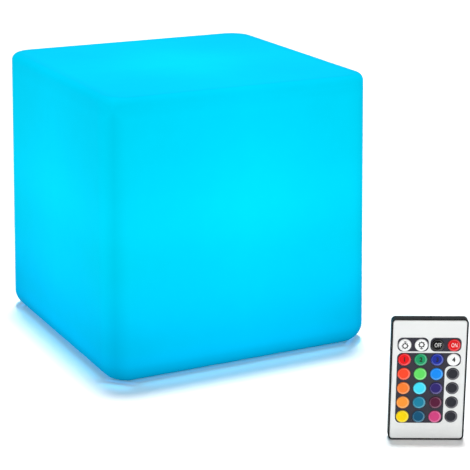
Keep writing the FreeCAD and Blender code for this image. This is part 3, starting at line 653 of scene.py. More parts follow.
@dataclass(frozen=True)
class SoftRubber(Finish):
    """Compression-moulded silicone or rubber: dull and finely grained, with a slow, pale bloom.

    Attributes:
        milky: Share of the light that sinks into it, high for uncoloured silicone.
    """

    marks: Pattern = Pattern(5.0, detail=5.0, rough=0.7)
    swing: Swing = (0.3, 0.75, 0.94, 1.1)
    grain: Pattern = Pattern(0.5)
    bump: float = 0.7
    roughness: float = 0.62
    others: Inputs = (("IOR", 1.43), ("Subsurface Scale", 1.5 * MM))
    milky: float = 0.0

    def shade(self, tree: Tree, place: Socket) -> Sockets:
        """The same, with the share of light that sinks in."""
        return {**super().shade(tree, place), "Subsurface Weight": self.milky}


@dataclass(frozen=True)
class CellFoam(Finish):
    """Closed-cell EVA foam, die-cut from sheet: the opened cells make small dark pits."""

    marks: Pattern = Pattern(0.5, cells=True)
    swing: Swing = (0.1, 0.6, 0.7, 1.15)
    grain: Pattern = Pattern(0.5, cells=True)
    depth_mm: float = 0.1
    bump: float = 0.8
    roughness: float = 0.95


@dataclass(frozen=True)
class WorkedMetal(Finish):
    """Turned, stamped or rolled metal: fine tool lines that break up its highlights, and dull patches."""

    marks: Pattern = Pattern(3.0, detail=4.0)
    swing: Swing = (0.35, 0.7, 1.0, 0.88)
    grain: Pattern = Pattern(0.15, longer=(12.0, 12.0, 1.0))
    depth_mm: float = 0.005
    roughness: float = 0.28
    rough_swing: float = 0.08
    others: Inputs = (("Metallic", 1.0),)


@dataclass(frozen=True)
class ClearResin(Finish):
    """A clear resin, which lets light through and scatters it by its roughness and its soft waves."""

    grain: Pattern = Pattern(6.0)
    depth_mm: float = 0.02
    others: Inputs = (("IOR", 1.56), ("Transmission Weight", 1.0))


@dataclass(frozen=True)
class SolderMask(Finish):
    """Glass-epoxy board under sprayed solder mask, whose copper tracks show as a lighter, raised pattern.

    Attributes:
        track_mm: Width of a track and its gap together.
        island: How many of them a plain island between the tracks is wide.
        disorder: How far the islands are from a square grid, 1 at most.
        chip_height: Height in metres from which on the surface is the black epoxy of a chip.
        chip_colour: The sRGB hex colour of that epoxy.
        chip_roughness: Of that epoxy.
    """

    swing: Swing = (0.36, 0.4, 0.82, 1.25)
    depth_mm: float = 0.03
    bump: float = 0.6
    roughness: float = 0.22
    others: Inputs = (("IOR", 1.55),)
    track_mm: float = 1.6
    island: float = 2.4
    disorder: float = 0.55
    chip_height: float = 1.0
    chip_colour: str = "1A1A1C"
    chip_roughness: float = 0.55

    def shade(self, tree: Tree, place: Socket) -> Sockets:
        """Tracks in colour and bump, and black epoxy above the board.

        Args:
            tree: The material's node tree.
            place: The place on the surface, in metres.

        Returns:
            What the inputs of the Principled shader get.
        """
        net = add_node(
            tree, "ShaderNodeTexVoronoi",
            {"Vector": place, "Scale": per_metre(self.track_mm * self.island), "Randomness": self.disorder},
            feature="F1", distance="CHEBYCHEV",
        )
        track = add_node(
            tree, "ShaderNodeMapRange", {"Value": net.outputs["Distance"], **dict(enumerate(self.swing, 1))}
        ).outputs[0]
        tone = add_node(
            tree, "ShaderNodeHueSaturation", {"Color": hex_to_linear(self.colour), "Value": track}
        )
        parts = add_node(tree, "ShaderNodeSeparateXYZ", {0: place})
        chip = add_node(
            tree, "ShaderNodeMath", {0: parts.outputs["Z"], 1: self.chip_height}, operation="GREATER_THAN"
        ).outputs[0]
        surface = add_node(
            tree, "ShaderNodeMix",
            {"Factor": chip, "A": tone.outputs[0], "B": hex_to_linear(self.chip_colour)}, data_type="RGBA",
        )
        rough = add_node(
            tree, "ShaderNodeMapRange", {"Value": chip, 3: self.roughness, 4: self.chip_roughness}
        )
        return {
            "Base Color": surface.outputs["Result"],
            "Roughness": rough.outputs[0],
            "Normal": self.skin(tree, track)["Normal"],
            **dict(self.others),
        }


@dataclass(frozen=True)
class LitGel(Finish):
    """Silicone gel in the well of a lit lamp package, cloudy with phosphor, under a clear skin.

    Attributes:
        glow: Strength of its light.
        gel_colour: The sRGB hex colour of the gel with the lamp off.
    """

    marks: Pattern = Pattern(1.2)
    swing: Swing = (*NOISE_SPAN, 0.75, 1.2)
    roughness: float = 0.15
    others: Inputs = (("IOR", 1.41),)
    glow: float = 6.0
    gel_colour: str = "F2E9A8"

    def shade(self, tree: Tree, place: Socket) -> Sockets:
        """The cloudy colour as light.

        Args:
            tree: The material's node tree.
            place: The place on the surface, in metres.

        Returns:
            What the inputs of the Principled shader get.
        """
        sockets = super().shade(tree, place)
        light = {"Emission Color": sockets["Base Color"], "Emission Strength": self.glow}
        return {**sockets, **light, "Base Color": hex_to_linear(self.gel_colour)}


@dataclass(frozen=True)
class ShrinkSleeve(Finish):
    """A steel can in a shrunk PVC sleeve: glossy print with long wrinkles, and the bare plated ends.

    Attributes:
        half_length: From the middle to where the sleeve ends, along X, in metres.
        steel_colour: The sRGB hex colour of the ends.
    """

    marks: Pattern = Pattern(2.5, detail=3.0, longer=(10.0, 1.0, 1.0))
    swing: Swing = (*NOISE_SPAN, 0.92, 1.08)
    grain: Pattern = Pattern(2.5, detail=3.0, longer=(10.0, 1.0, 1.0))
    depth_mm: float = 0.06
    roughness: float = 0.25
    half_length: float = 0.0322
    steel_colour: str = "C9C7C2"

    def shade(self, tree: Tree, place: Socket) -> Sockets:
        """Sleeve between the ends and plated steel beyond.

        Args:
            tree: The material's node tree.
            place: The place on the surface, in metres.

        Returns:
            What the inputs of the Principled shader get.
        """
        sockets = super().shade(tree, place)
        parts = add_node(tree, "ShaderNodeSeparateXYZ", {0: place})
        along = add_node(tree, "ShaderNodeMath", {0: parts.outputs["X"]}, operation="ABSOLUTE")
        bare = add_node(
            tree, "ShaderNodeMath", {0: along.outputs[0], 1: self.half_length}, operation="GREATER_THAN"
        ).outputs[0]
        surface = add_node(
            tree, "ShaderNodeMix",
            {"Factor": bare, "A": sockets["Base Color"], "B": hex_to_linear(self.steel_colour)},
            data_type="RGBA",
        )
        return {**sockets, "Base Color": surface.outputs["Result"], "Metallic": bare}


@dataclass(frozen=True)
class ExtrudedPvc(Finish):
    """PVC insulation extruded over strands, which show through: glossy and faintly wavy.

    Attributes:
        other: The sRGB hex colour of the wires on the side of negative X.
    """

    marks: Pattern = Pattern(1.0, detail=3.0)
    swing: Swing = (*NOISE_SPAN, 0.93, 1.07)
    grain: Pattern = Pattern(1.0, detail=3.0)
    depth_mm: float = 0.03
    roughness: float = 0.3
    other: str = "EDEDEA"

    def clean(self, tree: Tree, place: Socket) -> Socket:
        """One colour on each side of the middle.

        Args:
            tree: The material's node tree.
            place: The place on the surface, in metres.

        Returns:
            The colour.
        """
        parts = add_node(tree, "ShaderNodeSeparateXYZ", {0: place})
        right = add_node(tree, "ShaderNodeMath", {0: parts.outputs["X"], 1: 0.0}, operation="GREATER_THAN")
        return add_node(
            tree, "ShaderNodeMix",
            {"Factor": right.outputs[0], "A": hex_to_linear(self.other), "B": hex_to_linear(self.colour)},
            data_type="RGBA",
        ).outputs["Result"]


# The cube's skin: an even cyan glow under a faint wax.
LIT_SHELL = LitPolyethylene("rotomoulded_lit_polyethylene", "00C7FF")
# The cover: clean white, with a soft highlight.
WHITE_ABS = MouldedPlastic("moulded_white_abs", "E4E6E4")
# The button: mid grey, a little duller.
GREY_ABS = MouldedPlastic("moulded_grey_abs", "8B9093", roughness=0.5)
# Inlet, switch and cradle: near black, with a coarser and duller grain.
BLACK_NYLON = MouldedPlastic("moulded_black_nylon", "1B1B1C", roughness=0.55, depth_mm=0.012)
# The plugs: cream, as nylon is without colour.
WHITE_NYLON = MouldedPlastic("moulded_natural_nylon", "EAE6DA", roughness=0.5)
# The lamp packages: warm white walls round the gel.
WHITE_PPA = MouldedPlastic("moulded_white_ppa", "F4F2EA", roughness=0.4)
# The remote's case: black, with hardly a highlight.
BLACK_CASE = MouldedPlastic("moulded_black_abs", "121213", roughness=0.6, reflection=0.2)
# The receiver: dark as glass, with a sharp highlight.
DARK_EPOXY = MouldedPlastic("cast_dark_epoxy", "141217", roughness=0.12, depth_mm=0.002)
# The remote's face: an even pale grey, with a satin sheen.
FACE_PRINT = PrintedFilm("printed_pale_grey_polyester", "E9EBEA")
# The fields round the keys: bluish charcoal, with less sheen.
FIELD_PRINT = PrintedFilm("printed_charcoal_polyester", "36353F", reflection=0.1)
# The inks: opaque and even, with sharp edges.
WHITE_INK = PrintedFilm("printed_white_ink", "F4F4F2")
BLACK_INK = PrintedFilm("printed_black_ink", "0C0C0D")
GREY_INK = PrintedFilm("printed_grey_ink", "6E7376")
# The seals: cloudy, because light sinks into them.
CLEAR_SILICONE = SoftRubber("moulded_uncoloured_silicone", "D9DDDC", milky=0.35)
# The bung: dull dark grey with a pale bloom.
GREY_RUBBER = SoftRubber("moulded_grey_rubber", "54595C")
# The keypad: dull light grey, a little cloudy.
GREY_SILICONE = SoftRubber("moulded_grey_silicone", "9EA3A5", milky=0.15)
# The pad under the cell: dull black, pitted.
BLACK_FOAM = CellFoam("die_cut_black_eva_foam", "2A2A2C")
# The inserts: warm yellow, with lines round them.
TURNED_BRASS = WorkedMetal("turned_brass", "C9A353", roughness=0.25)
# The screws: cool grey, with soft long highlights.
STAINLESS = WorkedMetal("cold_headed_stainless_steel", "B9BCBF", roughness=0.3)
# Nut, contacts and springs: warm bright grey.
NICKEL_PLATE = WorkedMetal(
    "stamped_nickel_plated_steel", "CFC9BC", roughness=0.22, grain=Pattern(0.15, longer=(6.0, 6.0, 1.0))
)
# The coin cell: bright and clean, without lines.
CELL_STEEL = WorkedMetal(
    "drawn_stainless_steel", "C6C8CA", roughness=0.2, grain=Pattern(0.15), swing=(0.35, 0.7, 1.0, 0.95)
)
# The boards: glossy green, or white round the lamps.
GREEN_MASK = SolderMask("sprayed_green_solder_mask", "1E6B43", chip_height=0.0228)
REMOTE_MASK = SolderMask("sprayed_green_solder_mask_remote", "1E6B43")
WHITE_MASK = SolderMask("sprayed_white_solder_mask", "E9EAE6", track_mm=3.0)
# The dome: frosted, so that the lamps blur behind it.
DOME_RESIN = ClearResin("moulded_blasted_polycarbonate", "E6F4F6", roughness=0.5, rough_swing=0.075)
# The remote's emitter: clear as water.
LENS_RESIN = ClearResin("cast_clear_epoxy", "F4F6F8", roughness=0.03, rough_swing=0.0045)
# The lit packages: pale cyan, cloudy.
LAMP_GEL = LitGel("dispensed_lit_silicone_gel", "5FD8FF")
# The cell: glossy blue between bare ends.
BLUE_SLEEVE = ShrinkSleeve("shrunk_blue_pvc_sleeve", "2C6FB0")
# The wires: glossy, with their strands showing through.
BATTERY_WIRE = ExtrudedPvc("extruded_red_and_black_pvc", "B31D1A", other="1C1C1D")
LAMP_WIRE = ExtrudedPvc("extruded_white_pvc", "E4E3DE", other="E4E3DE")
# The floor: matt white.
PAPER = StudioPaper("pressed_white_paper", "FBFBFB")


# Sub-assemblies

Dressing = tuple[tuple[str, Finish], ...]


@dataclass
class SubAssembly:
    """Pieces that belong together.

    Attributes:
        finishes: Its CAD nodes, each with its finish.
    """

    finishes: Dressing = ()

    def dress(self, name: str, finish: Finish) -> None:
        """Puts a finish on a CAD node, in the slots that it has.

        Args:
            name: The node's name.
            finish: The finish.
        """
        for place in NODES[name].material_slots:
            place.material = finish.material()
        log.info("%s dressed in %s", name, finish.name)

    def build(self) -> None:
        """Dresses its nodes."""
        for name, finish in self.finishes:
            self.dress(name, finish)


@dataclass(frozen=True)
class GlowRow:
    """A row of narrow lamps round the shell's rounded lower edge.

    Attributes:
        tilt_deg: Where on the rounded edge, down from its outermost line.
        height: Of each lamp, along the edge's curve.
        radiance: Of the lamp's face.
        colour: The sRGB hex colour of its light.
    """

    tilt_deg: float
    height: float
    radiance: float
    colour: str


@dataclass
class CubeShell(SubAssembly):
    """The glowing shell, and the cyan light that it throws on the floor round it.

    The faces of the real shell are far brighter than a picture can show. What the picture clips still
    reaches the floor, so rows of lamps against the rounded lower edge add it.

    Attributes:
        corner_radius: Of the shell's upright corners.
        edge_radius: Of its lower edge.
        lamp_gap: From the shell to a lamp.
        corner_length: Length of a corner's lamp, as a share of the corner's radius.
        corner_boost: How much brighter that lamp is than its row.
        rows: The lamps' rows, from the upper to the lower one.
    """

    finishes: Dressing = (("cube_shell", LIT_SHELL),)
    corner_radius: float = 20.0 * MM
    edge_radius: float = 14.0 * MM
    lamp_gap: float = 0.3 * MM
    corner_length: float = 1.2
    corner_boost: float = 1.5
    rows: tuple[GlowRow, ...] = (
        GlowRow(tilt_deg=22.5, height=9.2 * MM, radiance=1.54, colour=LIT_SHELL.colour),
        GlowRow(tilt_deg=64.0, height=4.0 * MM, radiance=0.33, colour="00A4FF"),
    )

    def add_lamp(
        self, row: GlowRow, turn_deg: float, half_width: float, length: float, boost: float = 1.0
    ) -> None:
        """One lamp against the rounded lower edge, facing out and down, unseen by the camera.

        Args:
            row: The row that it belongs to.
            turn_deg: Its side, about +Z from the front.
            half_width: From the cube's axis to the outer face on that side.
            length: Its length along the side.
            boost: How much brighter it is than its row.
        """
        lamp = bpy.data.lights.new("glow_light", "AREA")
        lamp.shape = "RECTANGLE"
        lamp.color = hex_to_linear(row.colour)[:3]
        lamp.size, lamp.size_y = length, row.height
        lamp.energy = boost * row.radiance * math.pi * length * row.height
        tilt = math.radians(row.tilt_deg)
        outward = (self.edge_radius + self.lamp_gap) * math.cos(tilt) - self.edge_radius
        height = self.edge_radius - (self.edge_radius + self.lamp_gap) * math.sin(tilt)
        spin = Matrix.Rotation(math.radians(turn_deg), 4, "Z")
        out = Matrix.Translation((0.0, -half_width - outward, height))
        place = link("glow_light", lamp)
        place.matrix_world = spin @ out @ Matrix.Rotation(tilt - math.pi / 2, 4, "X")
        place.visible_camera = place.visible_glossy = False

    def floor_glow(self) -> None:
        """In each row, a lamp along each side and one at each corner."""
        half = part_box("cube_shell")[1].x
        diagonal = (half - self.corner_radius) * math.sqrt(2) + self.corner_radius
        corner = self.corner_radius * self.corner_length
        for row in self.rows:
            for turn in range(0, 360, 90):
                self.add_lamp(row, turn, half, 2 * (half - self.corner_radius))
                self.add_lamp(row, turn + 45, diagonal, corner, self.corner_boost)

    def build(self) -> None:
        """Dresses the shell and sets up its light on the floor."""
        super().build()
        self.floor_glow()


@dataclass
class BaseCover(SubAssembly):
    """The cover in the recess, with its gasket, screws and inserts, and the mark beside the button."""

    finishes: Dressing = (
        ("base_cover", WHITE_ABS), ("base_gasket", CLEAR_SILICONE), ("base_screws", STAINLESS),
        ("screw_inserts", TURNED_BRASS),
    )
    mark_x: float = -14.0 * MM
    mark_y: float = -28.6 * MM
    lettering: Lettering = Lettering(3.4 * MM, narrow=0.85, bold=0.04 * MM)

    def build(self) -> None:
        """Dresses the cover's pieces and prints the mark, to be read from below."""
        super().build()
        mark = self.lettering.layer("power_mark", "ON/OFF")
        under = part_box("base_cover")[0].z - INK_GAP
        facing = Matrix(((-1, 0, 0), (0, 1, 0), (0, 0, -1))).to_4x4()
        mark.data.transform(Matrix.Translation((self.mark_x, self.mark_y, under)) @ facing)
        mark.data.materials.append(GREY_INK.material())
        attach(mark, "cube")


@dataclass
class PowerButton(SubAssembly):
    """The push button with its seal, and the switch that it works."""

    finishes: Dressing = (
        ("power_button", GREY_ABS), ("button_seal", CLEAR_SILICONE), ("tact_switch", BLACK_NYLON),
        ("switch_plunger", BLACK_NYLON),
    )


@dataclass
class ChargingInlet(SubAssembly):
    """The inlet in the cover, its nut and its bung."""

    finishes: Dressing = (
        ("charge_socket", BLACK_NYLON), ("socket_nut", NICKEL_PLATE), ("port_plug", GREY_RUBBER),
    )


@dataclass
class BatteryPack(SubAssembly):
    """The rechargeable cell in its cradle, with the pad, contacts and wires."""

    finishes: Dressing = (
        ("battery_cell", BLUE_SLEEVE), ("battery_holder", BLACK_NYLON), ("battery_pad", BLACK_FOAM),
        ("battery_contacts", NICKEL_PLATE), ("battery_lead", BATTERY_WIRE),
    )


@dataclass
class ControlBoard(SubAssembly):
    """The board with the driver and the charger, its screws and the plugs on it."""

    finishes: Dressing = (
        ("control_board", GREEN_MASK), ("board_screws", STAINLESS), ("lead_connectors", WHITE_NYLON),
        ("led_lead", LAMP_WIRE),
    )


@dataclass
class LampModule(SubAssembly):
    """The lamp board with its packages and receiver under the frosted dome.

    Attributes:
        rings: Radius of each ring of packages, and how many stand on it.
        well_radius: Of the well in a package.
        well_depth: Of it.
        well_steps: Points round it.
        gel_drop: From the package's top to the gel's rim.
        gel_climb: From the gel's middle to its rim.
        gel_curl: How late it climbs, as a power of the share of the way to the rim.
        gel_shares: Where along that way its surface has a ring.
    """

    finishes: Dressing = (
        ("led_board", WHITE_MASK), ("led_board_screws", STAINLESS), ("led_packages", WHITE_PPA),
        ("ir_receiver", DARK_EPOXY), ("diffuser_dome", DOME_RESIN), ("dome_seal", CLEAR_SILICONE),
    )
    rings: tuple[tuple[float, int], ...] = ((26.0 * MM, 12), (13.0 * MM, 6))
    well_radius: float = 1.75 * MM
    well_depth: float = 0.38 * MM
    well_steps: int = 24
    gel_drop: float = 0.05 * MM
    gel_climb: float = 0.1 * MM
    gel_curl: int = 3
    gel_shares: tuple[float, ...] = (0.3, 0.6, 0.85, 1.0)

    def gel(self) -> None:
        """Lit gel in the well of every package, with a hollow surface that climbs at the rim."""
        shape = bmesh.new()
        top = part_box("led_packages")[1].z
        centre = top - self.gel_drop - self.gel_climb
        floor = top - self.well_depth
        climb = [
            (self.well_radius * share, centre + self.gel_climb * share ** self.gel_curl)
            for share in self.gel_shares
        ]
        profile = [(0.0, centre), *climb, (self.well_radius, floor), (0.0, floor)]
        for radius, count in self.rings:
            for i in range(count):
                angle = math.tau * i / count
                place = Matrix.Translation((radius * math.cos(angle), radius * math.sin(angle), 0.0))
                lathe(shape, profile, place, self.well_steps)
        gel = link_mesh("package_gel", shape)
        gel.data.materials.append(LAMP_GEL.material())
        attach(gel, "cube")

    def build(self) -> None:
        """Dresses the module and fills its packages."""
        super().build()
        self.gel()


@dataclass
class BatteryTray(SubAssembly):
    """The remote's coin cell in its tray, and the springs that touch it."""

    finishes: Dressing = (
        ("battery_tray", BLACK_CASE), ("coin_cell", CELL_STEEL), ("coin_contacts", NICKEL_PLATE),
    )


class Legend(Enum):
    """What is printed on a key of the remote."""

    SUN_UP = "sun with a cap above"
    SUN_DOWN = "sun with a cap below"
    WORD = "word"
    NUMBER = "number"
    NONE = "bare"


@dataclass(frozen=True)
class Key:
    """One key of the remote: its name, colour and legend."""

    name: str
    colour: str
    legend: Legend = Legend.NONE
    text: str = ""
    ink: PrintedFilm = BLACK_INK


KEYS: tuple[Key, ...] = (
    Key("brighter", "F4F5F4", Legend.SUN_UP),
    Key("dimmer", "F4F5F4", Legend.SUN_DOWN),
    Key("off", "060607", Legend.WORD, "OFF", WHITE_INK),
    Key("on", "E0141B", Legend.WORD, "ON", WHITE_INK),
    Key("red", "E8141A", Legend.NUMBER, "1"),
    Key("green", "1A9A62", Legend.NUMBER, "2"),
    Key("blue", "1E2F9A", Legend.NUMBER, "3"),
    Key("white", "F4F5F4", Legend.NUMBER, "4"),
    Key("vermilion", "FA482A"),
    Key("light_green", "62DB63"),
    Key("sky_blue", "148AF0"),
    Key("flash", "2E2F36"),
    Key("orange", "F77D30"),
    Key("cyan", "3FDAF3"),
    Key("violet", "30266D"),
    Key("strobe", "2E2F36"),
    Key("amber", "FC9837"),
    Key("teal", "197E9D"),
    Key("purple", "561B38"),
    Key("fade", "2E2F36"),
    Key("yellow", "FBD704"),
    Key("dark_teal", "0F5275"),
    Key("pink", "D0437F"),
    Key("smooth", "2E2F36"),
)


@dataclass
class RemoteControl(SubAssembly):
    """The card remote: case, face, printed fields, keys and what is printed on the keys.

    Attributes:
        sun_radius: Outer radius of a printed sun's ring, whose other sizes follow.
        sun_drop: From the key's middle to the sun's, away from its cap.
        ray_gap: From the ring to a ray, below 0 where they overlap.
        cap_half: Half of the cap's width next to the sun.
        cap_tip_half: The same, away from the sun.
        rim_profile: Radius and height of the low rim round a key's top, from outside to inside.
        rim_highlight_shift: How far its inner edge is moved left and up, which widens the rim's painted
            highlight on the lower right.
        rim_highlight_paler: Share of white in its colour, which paints a highlight on the rim.
        pull_half: Half width of a chevron on the remote's back, whose other sizes follow.
        pull_drop: From the tips of its arms to its point.
        pull_above: From the case's lower edge to the lowest point.
    """

    finishes: Dressing = (
        ("remote_back_case", BLACK_CASE), ("remote_front_plate", FACE_PRINT),
        ("remote_key_label", FIELD_PRINT), ("remote_keypad", GREY_SILICONE), ("remote_board", REMOTE_MASK),
        ("ir_emitter", LENS_RESIN),
    )
    sun_radius: float = 1.85 * MM
    sun_line: float = 0.66 * MM
    sun_drop: float = 0.45 * MM
    sun_steps: int = 32
    ray_count: int = 8
    ray_length: float = 0.42 * MM
    ray_gap: float = -0.05 * MM
    cap_gap: float = 0.25 * MM
    cap_height: float = 0.7 * MM
    cap_half: float = 1.2 * MM
    cap_tip_half: float = 0.4 * MM
    words: Lettering = Lettering(4.1 * MM, narrow=0.64, bold=-0.02 * MM)
    numbers: Lettering = Lettering(4.2 * MM, narrow=0.9, bold=0.2 * MM)
    rim_profile: Curve = (
        (3.82 * MM, -0.02 * MM), (3.78 * MM, 0.1 * MM), (3.66 * MM, 0.16 * MM), (3.5 * MM, 0.14 * MM),
        (3.36 * MM, 0.07 * MM), (3.22 * MM, -0.02 * MM),
    )
    # The rim's paler colour is a painted highlight, and the shift makes it a crescent on the lower right.
    rim_highlight_shift: tuple[float, float] = (-0.3 * MM, 0.24 * MM)
    rim_highlight_paler: float = 0.3
    pull_count: int = 3
    pull_half: float = 6.5 * MM
    pull_drop: float = 3.4 * MM
    pull_line: float = 1.6 * MM
    pull_pitch: float = 4.2 * MM
    pull_height: float = 0.35 * MM
    pull_above: float = 10.0 * MM
    outward: Vector = field(init=False)
    across: Vector = field(init=False)

    def __post_init__(self) -> None:
        """Reads from the record which way the remote faces."""
        joint = next(j for j in frame["joints"] if j["name"] == "key_on_press")
        self.outward = -Vector(joint["axis"]).normalized()
        self.across = UP.cross(self.outward)

    def facing(self, place: Vector, side: int) -> Matrix:
        """A frame on the remote: X across, Y up and Z outward.

        Args:
            place: Its origin.
            side: 1 on the face, -1 on the back.

        Returns:
            The frame.
        """
        turn = Matrix((self.across * side, UP, self.outward * side)).transposed().to_4x4()
        return Matrix.Translation(place) @ turn

    def key_top(self, key: Key) -> Matrix:
        """The frame in the middle of a key's top."""
        return self.facing(outermost(f"key_{key.name}", self.outward) + self.outward * INK_GAP, 1)

    def place_print(self, piece: bpy.types.Object, key: Key) -> None:
        """Lays a printed mark on its key's top and makes it ride with the key.

        Args:
            piece: The mark, drawn flat about the origin.
            key: The key.
        """
        piece.data.transform(self.key_top(key))
        piece.data.materials.append(key.ink.material())
        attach(piece, f"key_{key.name}")

    def sun_mark(self, key: Key, way: int) -> None:
        """A sun with its rays, and a cap over or under it.

        Args:
            key: The key.
            way: 1 for a cap above, -1 for one below.
        """
        shape = bmesh.new()
        low = -way * self.sun_drop
        outer, inner, half = self.sun_radius, self.sun_radius - self.sun_line, self.sun_line / 2
        near = outer + self.ray_gap
        far = near + self.ray_length
        end = turned([(outer, 0.0), (inner, 0.0)], math.tau / self.sun_steps)
        ring = [(inner, 0.0), (outer, 0.0), *end]
        ray = [(near, -half), (far, -half), (far, half), (near, half)]
        for stroke, count in ((ring, self.sun_steps), (ray, self.ray_count)):
            for i in range(count):
                slab(shape, turned(stroke, math.tau * i / count, low), INK_THICK)
        base = low + way * (far + self.cap_gap)
        tip = base + way * self.cap_height
        wide, slim = self.cap_half, self.cap_tip_half
        slab(shape, [(-wide, base), (wide, base), (slim, tip), (-slim, tip)], INK_THICK)
        weld(shape)
        self.place_print(link_mesh(f"{key.name}_mark", shape), key)

    def rim(self, key: Key) -> None:
        """The low rim round a key's top, in a paler colour that paints a highlight, wider on the lower right.

        Args:
            key: The key.
        """
        shape = bmesh.new()
        lathe(shape, [*self.rim_profile, self.rim_profile[0]], Matrix.Identity(4))
        weld(shape)
        outer, inner = self.rim_profile[0][0], self.rim_profile[-1][0]
        for vertex in shape.verts:
            share = (outer - vertex.co.xy.length) / (outer - inner)
            vertex.co += Vector((*self.rim_highlight_shift, 0.0)) * share
        shape.transform(self.key_top(key))
        piece = link_mesh(f"{key.name}_rim", shape)
        # A paler copy of the key's colour, as a painted highlight.
        highlight_finish = MouldedPlastic(
            f"rubbed_abs_{key.name}", paler(key.colour, self.rim_highlight_paler), roughness=0.4, reflection=0.15
        )
        piece.data.materials.append(highlight_finish.material())
        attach(piece, f"key_{key.name}")

    def pull_mark(self) -> None:
        """Raised chevrons on the back of the case, which point the way the battery tray slides out."""
        shape = bmesh.new()
        half, line = self.pull_half, self.pull_line
        for step in range(self.pull_count):
            low = step * self.pull_pitch
            high = low + self.pull_drop
            right = [(0.0, low), (half, high), (half, high + line), (0.0, low + line)]
            slab(shape, [*right, (-half, high + line), (-half, high)], self.pull_height)
        place = outermost("remote_back_case", -self.outward)
        place.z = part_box("remote_back_case")[0].z + self.pull_above
        shape.transform(self.facing(place, -1))
        piece = link_mesh("remote_pull_mark", shape)
        piece.data.materials.append(BLACK_CASE.material())
        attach(piece, "remote")

    def build(self) -> None:
        """Dresses the remote, marks its back and prints its keys."""
        super().build()
        self.pull_mark()
        for key in KEYS:
            finish = MouldedPlastic(f"moulded_abs_{key.name}", key.colour, roughness=0.5, reflection=0.08)
            self.dress(f"key_{key.name}", finish)
            self.rim(key)
            if key.legend in (Legend.SUN_UP, Legend.SUN_DOWN):
                self.sun_mark(key, 1 if key.legend is Legend.SUN_UP else -1)
            elif key.legend is not Legend.NONE:
                lettering = self.words if key.legend is Legend.WORD else self.numbers
                self.place_print(lettering.layer(f"{key.name}_mark", key.text), key)


# Studio


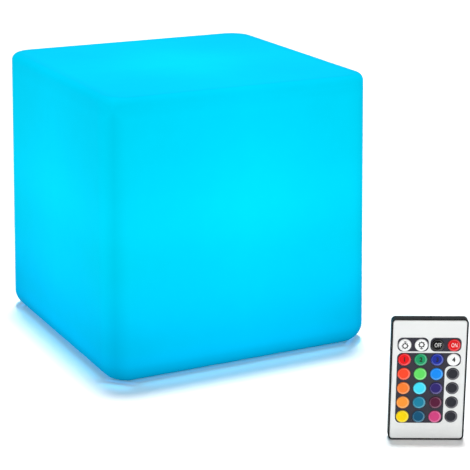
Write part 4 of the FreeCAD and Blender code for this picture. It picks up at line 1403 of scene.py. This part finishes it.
@dataclass
class Studio:
    """A white floor, a high soft key light, a weak fill, an even sky and the camera.

    Azimuths go round the cube from 0 in front. The camera stands in one direction and looks from
    another one, because the photograph's cube isn't in the middle of its frame.

    Attributes:
        sky: Strength of the sky's light.
        sky_seen: Strength of the sky as the camera sees it.
        sun_tilt_x_deg: How far the key light stands to the right of straight above.
        sun_tilt_y_deg: How far it stands behind that.
        aim_height: Of the point over the middle of the base that distance is measured from.
        clip: The nearest and farthest that the camera sees.
    """

    floor_size: float = 14.0
    floor_drop: float = 0.05 * MM
    sky: float = 0.44
    sky_seen: float = 1.05
    sun_power: float = 2.58
    sun_width_deg: float = 6.2
    sun_tilt_x_deg: float = 3.8
    sun_tilt_y_deg: float = 6.85
    fill_power: float = 0.92
    fill_azimuth_deg: float = -27.0
    fill_elevation_deg: float = 10.0
    fill_width_deg: float = 40.0
    stand_azimuth_deg: float = -25.235
    stand_elevation_deg: float = 15.365
    look_azimuth_deg: float = -27.142
    look_elevation_deg: float = 16.923
    roll_deg: float = 0.280
    distance: float = 1.264205
    aim_height: float = 0.10725
    lens_mm: float = 124.107
    sensor_mm: float = 36.0
    clip: tuple[float, float] = (0.05, 60.0)

    @staticmethod
    def toward(azimuth_deg: float, elevation_deg: float) -> Vector:
        """The direction from the cube to a place round it.

        Args:
            azimuth_deg: Of the place.
            elevation_deg: Of the place.

        Returns:
            The direction, 1 long.
        """
        azimuth, elevation = math.radians(azimuth_deg), math.radians(elevation_deg)
        level = math.cos(elevation)
        return Vector((math.sin(azimuth) * level, -math.cos(azimuth) * level, math.sin(elevation)))

    def floor(self) -> None:
        """A wide sheet of paper, just under the cube."""
        shape = bmesh.new()
        half = self.floor_size / 2
        corners = [(-half, -half), (half, -half), (half, half), (-half, half)]
        shape.faces.new([shape.verts.new((x, y, -self.floor_drop)) for x, y in corners])
        sheet = link_mesh("studio_floor", shape)
        sheet.data.materials.append(PAPER.material())

    def lights(self) -> None:
        """The key light, high and a little behind on the right, and a weak fill from the camera's side."""
        tilts = (math.tan(math.radians(tilt)) for tilt in (self.sun_tilt_x_deg, self.sun_tilt_y_deg))
        high = Vector((*tilts, 1.0))
        side = self.toward(self.fill_azimuth_deg, self.fill_elevation_deg)
        for name, power, width_deg, way in (
            ("key_light", self.sun_power, self.sun_width_deg, high),
            ("fill_light", self.fill_power, self.fill_width_deg, side),
        ):
            sun = bpy.data.lights.new(name, "SUN")
            sun.energy, sun.angle = power, math.radians(width_deg)
            link(name, sun).rotation_euler = way.to_track_quat("Z", "Y").to_euler()

    def sky_light(self) -> None:
        """An even white sky, which the camera sees as clean white."""
        world = bpy.data.worlds.new("white_sky")
        world.use_nodes = True
        tree = world.node_tree
        tree.nodes.clear()
        seen = add_node(tree, "ShaderNodeLightPath").outputs["Is Camera Ray"]
        power = add_node(tree, "ShaderNodeMapRange", {"Value": seen, 3: self.sky, 4: self.sky_seen})
        white = hex_to_linear("FFFFFF")
        sky = add_node(tree, "ShaderNodeBackground", {"Strength": power.outputs[0], "Color": white})
        add_node(tree, "ShaderNodeOutputWorld", {"Surface": sky.outputs[0]})
        bpy.context.scene.world = world

    def camera(self) -> None:
        """The camera, at the place and angle of the photograph's."""
        data = bpy.data.cameras.new("camera")
        data.lens, data.sensor_width = self.lens_mm, self.sensor_mm
        data.sensor_fit = "HORIZONTAL"
        data.clip_start, data.clip_end = self.clip
        back = self.toward(self.look_azimuth_deg, self.look_elevation_deg)
        right = UP.cross(back).normalized()
        turn = Matrix((right, back.cross(right), back)).transposed()
        roll = Matrix.Rotation(math.radians(self.roll_deg), 3, "Z")
        stand = self.toward(self.stand_azimuth_deg, self.stand_elevation_deg) * self.distance
        stand.z += self.aim_height
        camera = link("camera", data)
        camera.matrix_world = Matrix.Translation(stand) @ (turn @ roll).to_4x4()
        bpy.context.scene.camera = camera

    def build(self) -> None:
        """Sets up floor, light and camera, and a plain colour rendering."""
        self.floor()
        self.lights()
        self.sky_light()
        self.camera()
        bpy.context.scene.view_settings.view_transform = "Standard"


def main() -> None:
    """Builds every sub-assembly in order and reports it."""
    logging.basicConfig(level=logging.INFO, format="%(message)s")
    parts = (
        CubeShell(), BaseCover(), PowerButton(), ChargingInlet(), BatteryPack(), ControlBoard(), LampModule(),
        RemoteControl(), BatteryTray(), Studio(),
    )
    for part in parts:
        part.build()
        log.info("%s finished", type(part).__name__)


if __name__ == "__main__":
    main()
